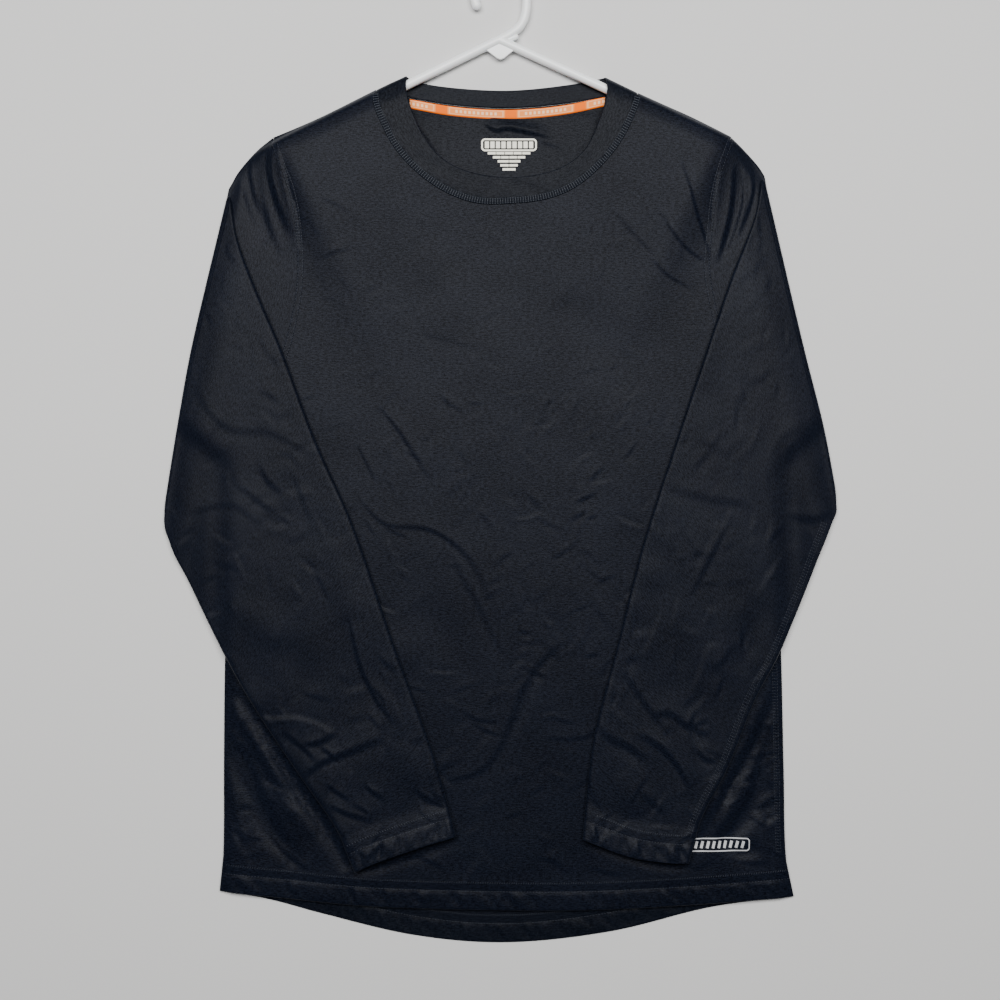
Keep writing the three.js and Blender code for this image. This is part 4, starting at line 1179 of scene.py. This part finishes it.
def side_stitches(thread):
    """The body's left side seam, just inside its edge below the turned sleeve."""
    seam = Curve(offset_line(Curve(LEFT["side"]), -SIDE_SEAM_INSET, 60)[0], 4)
    threads("side_stitches", flat_seam(seam, FRONT_TOP.read, *SIDE_SHOWN), RADIUS["side"], thread)


def surface_reader(obj, low_z=0.0, ray_height=0.05):
    """Height of a finished piece's upper face at places in mm, by rays cast straight down."""
    tree = BVHTree.FromObject(obj, bpy.context.evaluated_depsgraph_get())

    def height(px, py):
        hit = tree.ray_cast(((px - CENTRE[0]) * MM, (py - CENTRE[1]) * MM, ray_height), (0, 0, -1))[0]
        return hit.z / MM if hit is not None else low_z

    def read(x, y):
        return np.array([height(*place) for place in zip(np.ravel(x), np.ravel(y))]).reshape(np.shape(x))
    return read


def hem_stitches(pieces, thread):
    """Two rows at each turned edge: short slanting ticks above, finer stitches below."""
    seam = HEM_SEAM
    pairs = []
    for table, sign, name, *shown in (
        (FRONT_HEM, 1, "front", 0.008, 0.992),
        (BACK_HEM, 1, "back", 0.16, 0.86),
        (RIGHT["cuff"], -1, "sleeve_right", 0.05, 0.94),
        (LEFT["cuff"], 1, "sleeve_left", 0.05, 0.95),
    ):
        line = Curve(table)
        height = surface_reader(pieces[name])
        low, high = (sign * distance for distance in STITCH_ROWS)
        half = sign * seam["rung"]
        ticks = seam["rung_pitch"], seam["lean"], seam["rung_lift"]
        pairs.append(rungs(line, high - half, high + half, height, *ticks, *shown))
        fine = seam["pitch"], seam["stitch"], seam["row_lift"]
        pairs.append(row_of_stitches(line, low, height, *fine, *shown))
    threads("hem_stitches", pairs, RADIUS["hem"], thread)


def underarm_stitches(sleeve, piece, thread):
    """The flat seam that runs down the turned sleeve, just inside its outer edge."""
    inset = -sleeve.side["sign"] * UNDERARM_INSET
    line = Curve(offset_line(sleeve.outer, inset, 60, *UNDERARM_SHOWN)[0], 4)
    threads("underarm_stitches", flat_seam(line, surface_reader(piece)), RADIUS["underarm"], thread)


# Prints: plain frames, bars and dashes
PRINT_THICK = 0.1
PRINT_DEPTH = 0.2
CORNER_CUT = 1.6
NECK_FRAME = (-20.2, 27.3, 308, 317.7)
NECK_BARS = {"count": 9, "inset": 4.3, "margin": 1.9, "width": 3.7}
NECK_DASHES = ((38, 5), (29, 4), (20.5, 2), (16, 2), (12, 1))  # width of each row and its number of dashes
DASHES_TOP = 305.5
DASHES_PITCH = 3.55
DASH_GAP = 0.3
DASH_WIDTH = 2.1
HEM_FRAME = (162, 214.5, -308, -297.2)
HEM_BARS = {"count": 9, "left": 5, "right": 6.5, "margin": 2.4, "lean": 1.6, "width": 2.4}


def flat_bars(name, bars, height, material, lift):
    """Thin raised bars, each x0, y0, x1, y1 and width, laid on a height."""
    vertices, faces = [], []
    base = 0
    for x0, y0, x1, y1, width in bars:
        length = math.hypot(x1 - x0, y1 - y0)
        count = max(2, int(length / 2) + 1)
        line = np.array([[x0, y0]]) + np.linspace(0, 1, count)[:, None] * np.array([[x1 - x0, y1 - y0]])
        side = np.array([-(y1 - y0), x1 - x0]) / length * width / 2
        for level in (lift - PRINT_THICK - PRINT_DEPTH, lift):
            for offset in (-1, 1):
                place = line + offset * side
                vertices.append(np.column_stack([place, height(place[:, 0], place[:, 1]) + level]))
        grid = base + np.arange(4 * count).reshape(4, count)
        base += 4 * count
        faces += quads(grid[[0, 1, 3, 2, 0]]).tolist()
        faces += [grid[[0, 2, 3, 1], 0].tolist(), grid[[0, 1, 3, 2], -1].tolist()]
    obj = make_mesh(name, np.vstack(vertices), faces)
    obj.data.shade_flat()
    finish(obj, material)


def frame_bars(x0, x1, y0, y1, width):
    """A closed frame with cut corners."""
    cut = CORNER_CUT
    corners = [(x0 + cut, y0), (x1 - cut, y0), (x1, y0 + cut), (x1, y1 - cut), (x1 - cut, y1), (x0 + cut, y1),
               (x0, y1 - cut), (x0, y0 + cut)]
    return [(*a, *b, width) for a, b in zip(corners, corners[1:] + corners[:1])]


def neck_print(piece, material):
    x0, x1, y0, y1 = NECK_FRAME
    b = NECK_BARS
    bars = frame_bars(*NECK_FRAME, width=1.5)
    for x in np.linspace(x0 + b["inset"], x1 - b["inset"], b["count"]):
        bars.append((x, y0 + b["margin"], x, y1 - b["margin"], b["width"]))
    for row, (width, dashes) in enumerate(NECK_DASHES):
        y = DASHES_TOP - DASHES_PITCH * row
        for x in (x0 + x1 - width) / 2 + np.arange(dashes) * width / dashes:
            bars.append((x + DASH_GAP, y, x + width / dashes - DASH_GAP, y, DASH_WIDTH))
    flat_bars("neck_print", bars, surface_reader(piece), material, lift=0.12)


def hem_print(piece, material):
    x0, x1, y0, y1 = HEM_FRAME
    b = HEM_BARS
    bars = frame_bars(*HEM_FRAME, width=1.0)
    for x in np.linspace(x0 + b["left"], x1 - b["right"], b["count"]):
        bars.append((x, y0 + b["margin"], x + b["lean"], y1 - b["margin"], b["width"]))
    flat_bars("hem_print", bars, surface_reader(piece), material, lift=0.24)


# Hanger
def rod(points, radius, sides=20):
    """Vertices and faces of a round rod along points, with domed ends."""
    points = np.asarray(points, float)
    ahead = np.gradient(points, axis=0)
    ahead /= np.linalg.norm(ahead, axis=1)[:, None]
    reach = np.sqrt(1 - DOME ** 2)[:, None] * radius
    centres = np.vstack([points[0] - ahead[0] * reach, points, points[-1] + ahead[-1] * reach[::-1]])
    directions = [ahead[0]] * len(DOME) + list(ahead) + [ahead[-1]] * len(DOME)
    sizes = np.concatenate([DOME, np.ones(len(points)), DOME[::-1]]) * radius
    angle = np.arange(sides) * 2 * math.pi / sides
    rows = []
    for centre, direction, size in zip(centres, directions, sizes):
        out = size * np.cos(angle)
        x, y = centre[0] - direction[1] * out, centre[1] + direction[0] * out
        rows.append(np.column_stack([x, y, TUBE_Z + size * np.sin(angle)]))
    grid = np.arange(len(rows) * sides).reshape(len(rows), sides)
    closed = np.column_stack([grid, grid[:, 0]])
    faces = quads(closed, True).tolist() + [grid[0].tolist(), grid[-1][::-1].tolist()]
    return np.vstack(rows), faces


def web():
    """The flat plate in the hanger's neck."""
    points = [(x, y, TUBE_Z + side * WEB_HALF) for side in (-1, 1) for x, y in WEB]
    count = len(WEB)
    sides = [[i, (i + 1) % count, count + (i + 1) % count, count + i] for i in range(count)]
    return points, [list(range(count))[::-1], list(range(count, 2 * count)), *sides]


def apply(obj, modifier):
    bpy.context.view_layer.objects.active = obj
    bpy.ops.object.modifier_apply(modifier=modifier.name)


def hanger(material):
    stem = Curve(STEM)
    angle = np.radians(np.linspace(0, HOOK["sweep"], 40))
    hook = np.array([HOOK["x"], HOOK["y"]]) + HOOK["radius"] * np.column_stack([np.cos(angle), np.sin(angle)])
    arm = np.linspace(ARM_ENDS[0], STEM[0], 30)[:-1]
    long_rod = np.vstack([arm, stem.at(np.linspace(0, 1, 26))[:-1], hook])
    short_rod = np.linspace(SHORT_ROD_START, ARM_ENDS[1], 30)
    obj = make_mesh("hanger_rod", *rod(long_rod, TUBE))
    others = [
        make_mesh("short_rod", *rod(short_rod, TUBE - SHORT_ROD_THINNER)),
        make_mesh("web", *web()),
        make_mesh("fillet", *rod(FILLET, FILLET_RADIUS, 16)),
    ]
    bpy.context.view_layer.update()
    for other in others:
        join = obj.modifiers.new("join", "BOOLEAN")
        join.operation = "UNION"
        join.solver = "EXACT"
        join.object = other
        apply(obj, join)
        bpy.data.objects.remove(other)
    bevel = obj.modifiers.new("soft corners", "BEVEL")
    bevel.width = 0.5 * MM
    bevel.segments = 3
    bevel.limit_method = "ANGLE"
    bevel.angle_limit = math.radians(40)
    apply(obj, bevel)
    obj.data.shade_smooth()
    finish(obj, material, "hanger")


# Materials
TONE_RANGE = (0.41, 0.59)
TAPE_REPEAT = 0.0613
TAPE_START = 0.0286


class Nodes:
    """A short way to add and link shader nodes."""

    def __init__(self, name):
        self.material = bpy.data.materials.new(name)
        self.material.use_nodes = True
        self.tree = self.material.node_tree
        self.shader = self.tree.nodes["Principled BSDF"]

    def add(self, kind, inputs=None, **settings):
        node = self.tree.nodes.new(kind)
        for key, value in settings.items():
            setattr(node, key, value)
        for key, value in (inputs or {}).items():
            if hasattr(value, "is_output"):
                self.tree.links.new(value, node.inputs[key])
            else:
                node.inputs[key].default_value = value
        return node

    def math(self, operation, a, b=0.5):
        return self.add("ShaderNodeMath", {0: a, 1: b}, operation=operation).outputs[0]

    def total(self, *weighted):
        """The sum of some values, each times its share."""
        parts = [self.math("MULTIPLY", value, share) for value, share in weighted]
        found = parts[0]
        for part in parts[1:]:
            found = self.math("ADD", found, part)
        return found

    def cloth_place(self):
        return self.add("ShaderNodeUVMap", uv_map="Cloth").outputs["UV"]

    def object_place(self):
        return self.add("ShaderNodeTexCoord").outputs["Object"]

    def stretch(self, place, scale):
        return self.add("ShaderNodeMapping", {"Vector": place, "Scale": scale}).outputs[0]

    def noise(self, place, scale=1.0, detail=2.0, roughness=0.5):
        inputs = {"Vector": place, "Scale": scale, "Detail": detail, "Roughness": roughness}
        return self.add("ShaderNodeTexNoise", inputs).outputs["Fac"]

    def spread(self, value, low, high, to_low, to_high):
        """A value's range moved to another range."""
        inputs = {"Value": value, "From Min": low, "From Max": high, "To Min": to_low, "To Max": to_high}
        return self.add("ShaderNodeMapRange", inputs).outputs["Result"]

    def colours(self, value, dark, light, low=0.0, high=1.0):
        """Sets the base colour between two colours, by a value between low and high."""
        node = self.add("ShaderNodeValToRGB", {"Fac": value})
        first, last = node.color_ramp.elements
        first.position, last.position = low, high
        first.color, last.color = (*dark, 1), (*light, 1)
        self.link(node.outputs["Color"], "Base Color")

    def mix_colours(self, share, a, b):
        node = self.add("ShaderNodeMix", {"Factor": share, "A": a, "B": b}, data_type="RGBA")
        return node.outputs["Result"]

    def bump(self, height, strength, distance, **more):
        inputs = {"Height": height, "Strength": strength, "Distance": distance, **more}
        return self.add("ShaderNodeBump", inputs).outputs["Normal"]

    def link(self, output, socket):
        self.tree.links.new(output, self.shader.inputs[socket])

    def set(self, **values):
        for key, value in values.items():
            self.shader.inputs[key.replace("_", " ")].default_value = value


def knit_material(name, dark, light, gloss, bump=1.0):
    """Fine black jersey: a horizontal slub in the colour, fine loops and a little fuzz in the bump."""
    n = Nodes(name)
    uv = n.cloth_place()
    slub = n.noise(n.stretch(uv, (270, 820, 1)), detail=3.0, roughness=0.65)
    fleck = n.noise(n.stretch(uv, (820, 1050, 1)), detail=2.0, roughness=0.6)
    patches = n.noise(n.stretch(uv, (16, 22, 1)), detail=3.0)
    tone = n.total((slub, 0.5), (fleck, 0.4), (patches, 0.1))
    n.colours(tone, dark, light, *TONE_RANGE)
    n.link(n.spread(tone, 0.3, 0.7, to_low=0.43, to_high=0.49), "Roughness")
    n.link(n.spread(tone, *TONE_RANGE, to_low=0.45 * gloss, to_high=gloss), "Specular IOR Level")
    loops = n.add("ShaderNodeTexVoronoi", {"Vector": n.stretch(uv, (1500, 1100, 1)), "Scale": 1.0})
    height = n.total((slub, 0.5), (fleck, 0.35), (loops.outputs["Distance"], 0.25))
    fine = n.bump(height, strength=0.42 * bump, distance=0.0004)
    crumple = n.noise(n.stretch(uv, (70, 70, 1)), detail=4.0, roughness=0.55)
    n.link(n.bump(crumple, strength=0.14, distance=0.0016, Normal=fine), "Normal")
    n.set(Sheen_Weight=0.04, Sheen_Roughness=0.5, Sheen_Tint=(0.72, 0.8, 1.0, 1))
    return n.material


def shade(colour, share):
    return [channel * share for channel in colour]


def thread_material(name, colour):
    n = Nodes(name)
    n.colours(n.noise(n.object_place(), scale=900.0), shade(colour, 0.7), shade(colour, 1.3))
    n.set(Roughness=0.45, Specular_IOR_Level=0.5)
    return n.material


def tape_material():
    """Orange woven tape: plain brighter gaps between pale frames that hold pale dashes."""
    n = Nodes("orange tape")
    uv = n.cloth_place()
    place = n.add("ShaderNodeSeparateXYZ", {"Vector": uv}).outputs
    along = n.math("DIVIDE", n.math("SUBTRACT", place["X"], TAPE_START), TAPE_REPEAT)
    repeat = n.math("FRACT", n.math("ADD", along, 10.0))
    across = n.math("DIVIDE", place["Y"], TAPE_WIDTH * MM)

    def band(value, low, high):
        return n.math("MULTIPLY", n.math("GREATER_THAN", value, low), n.math("LESS_THAN", value, high))

    def box(side, low, high):
        return n.math("MULTIPLY", band(repeat, side, 1 - side), band(across, low, high))

    outline = n.math("SUBTRACT", box(0.105, 0.18, 0.84), box(0.125, 0.26, 0.76))
    dash = band(n.math("FRACT", n.math("MULTIPLY", repeat, 16.0)), 0.2, 0.75)
    dashes = n.math("MULTIPLY", dash, box(0.19, 0.36, 0.66))
    marks = n.math("MAXIMUM", n.math("MULTIPLY", outline, 0.55), dashes)
    base = n.mix_colours(box(0.085, 0.14, 0.88), a=(0.96, 0.17, 0.004, 1), b=(0.95, 0.3, 0.075, 1))
    n.link(n.mix_colours(marks, a=base, b=(0.98, 0.62, 0.38, 1)), "Base Color")
    weave = n.add("ShaderNodeTexWave", {"Vector": uv, "Scale": 420.0, "Distortion": 1.0}).outputs["Fac"]
    n.link(n.bump(weave, strength=0.3, distance=0.0002), "Normal")
    n.set(Roughness=0.8, Specular_IOR_Level=0.08)
    return n.material


def plastic_material():
    n = Nodes("white plastic")
    cloud = n.noise(n.object_place(), scale=40.0, detail=3.0)
    n.colours(cloud, (0.93, 0.945, 0.96), (0.97, 0.98, 0.985))
    n.link(n.bump(cloud, strength=0.08, distance=0.0006), "Normal")
    n.set(Roughness=0.35, Subsurface_Weight=0.05, Coat_Weight=0.4, Coat_Roughness=0.25)
    return n.material


def print_material(name, colour):
    n = Nodes(name)
    wear = n.noise(n.object_place(), scale=700.0, detail=4.0, roughness=0.7)
    n.colours(wear, shade(colour, 0.85), colour, low=0.36, high=0.56)
    n.set(Roughness=0.5)
    return n.material


def floor_material():
    n = Nodes("pale floor")
    n.colours(n.noise(n.object_place(), scale=3.0), (0.65, 0.65, 0.65), (0.67, 0.67, 0.67))
    n.set(Roughness=0.95, Specular_IOR_Level=0.1)
    return n.material


# Floor, light and camera
def make_stage(half=3.0, below=1e-4):
    mesh = bpy.data.meshes.new("floor")
    corners = [(x * half, y * half, -below) for x, y in ((-1, -1), (1, -1), (1, 1), (-1, 1))]
    mesh.from_pydata(corners, [], [(0, 1, 2, 3)])
    mesh.materials.append(floor_material())
    add_object("floor", mesh)


def area_light(name, place, size, power, colour):
    """A rectangular light that aims at the part's origin."""
    light = bpy.data.lights.new(name, "AREA")
    light.shape = "RECTANGLE"
    light.size, light.size_y = size
    light.energy = power
    light.color = colour
    obj = add_object(name, light)
    obj.location = place
    obj.rotation_mode = "QUATERNION"
    obj.rotation_quaternion = (-Vector(place)).to_track_quat("-Z", "Y")


def make_light():
    world = bpy.data.worlds.new("room")
    world.use_nodes = True
    background = world.node_tree.nodes["Background"].inputs
    background["Color"].default_value = (0.93, 0.96, 1.0, 1)
    background["Strength"].default_value = 0.08
    bpy.context.scene.world = world
    area_light("window", place=(-0.03, 0.75, 2.15), size=(2.4, 1.1), power=100, colour=(1.0, 0.99, 0.975))


def make_camera(above_floor=0.003):
    """A camera straight above the view's middle, wide enough for the view at the height of the cloth."""
    data = bpy.data.cameras.new("camera")
    data.lens = 50
    data.sensor_width = 36
    data.clip_start = 0.01
    camera = add_object("camera", data)
    x, y = (VIEW_CENTRE - CENTRE[:2]) * MM
    camera.location = (x, y, VIEW_WIDTH * MM * data.lens / data.sensor_width + above_floor)
    bpy.context.scene.camera = camera


BRIDGE_REACH = 7  # a turned sleeve spans hollows of the front that are narrower than this to each side
FRONT_UNDER = front_field()
FRONT_SLOPE = FRONT_UNDER.copy(FRONT_UNDER.steepness())
FRONT_TOP = FRONT_UNDER.copy(FRONT_UNDER.values + WALL * FRONT_SLOPE.values)
FRONT_BRIDGE = FRONT_TOP.spread(BRIDGE_REACH)

make_camera()
make_light()
make_stage()
knit = knit_material("black knit", dark=(0.0006, 0.001, 0.003), light=(0.0044, 0.0068, 0.0152), gloss=0.117)
inside_knit = knit_material(
    "black knit inside", dark=(0.0008, 0.0014, 0.0034), light=(0.0048, 0.0069, 0.013), gloss=0.102)
# Seam knit: a darker, less glossy copy of the black knit, painted shade for the dark lines along and between
# the neck seam's stitches.
seam_knit_painted_shade = knit_material(
    "seam knit painted shade", dark=(0.001, 0.0018, 0.0045), light=(0.003, 0.005, 0.011), gloss=0.05, bump=0.6)
thread = thread_material("black thread", (0.04, 0.047, 0.06))
fine_thread = thread_material("fine thread", (0.031, 0.037, 0.052))

pieces = {
    "back": back_panel(inside_knit),
    "front": front_panel(knit),
}
sleeves = {
    "sleeve_right": Sleeve(RIGHT, RIGHT_ARM_CREASES, seed=101),
    "sleeve_left": Sleeve(LEFT, LEFT_ARM_CREASES, seed=151),
}
for key, sleeve in sleeves.items():
    pieces[key] = sleeve.build(key, knit, flat=(0.50, 0.69), area=0.171)
neckband(inside_knit)
neck_tape(tape_material())
hanger(plastic_material())
neck_stitches(seam_knit_painted_shade, thread)
armhole_stitches(knit, fine_thread)
side_stitches(fine_thread)
underarm_stitches(sleeves["sleeve_left"], pieces["sleeve_left"], fine_thread)
hem_stitches(pieces, fine_thread)
neck_print(pieces["back"], print_material("pale print", (0.95, 0.93, 0.8)))
hem_print(pieces["front"], print_material("silver print", (0.5, 0.51, 0.53)))
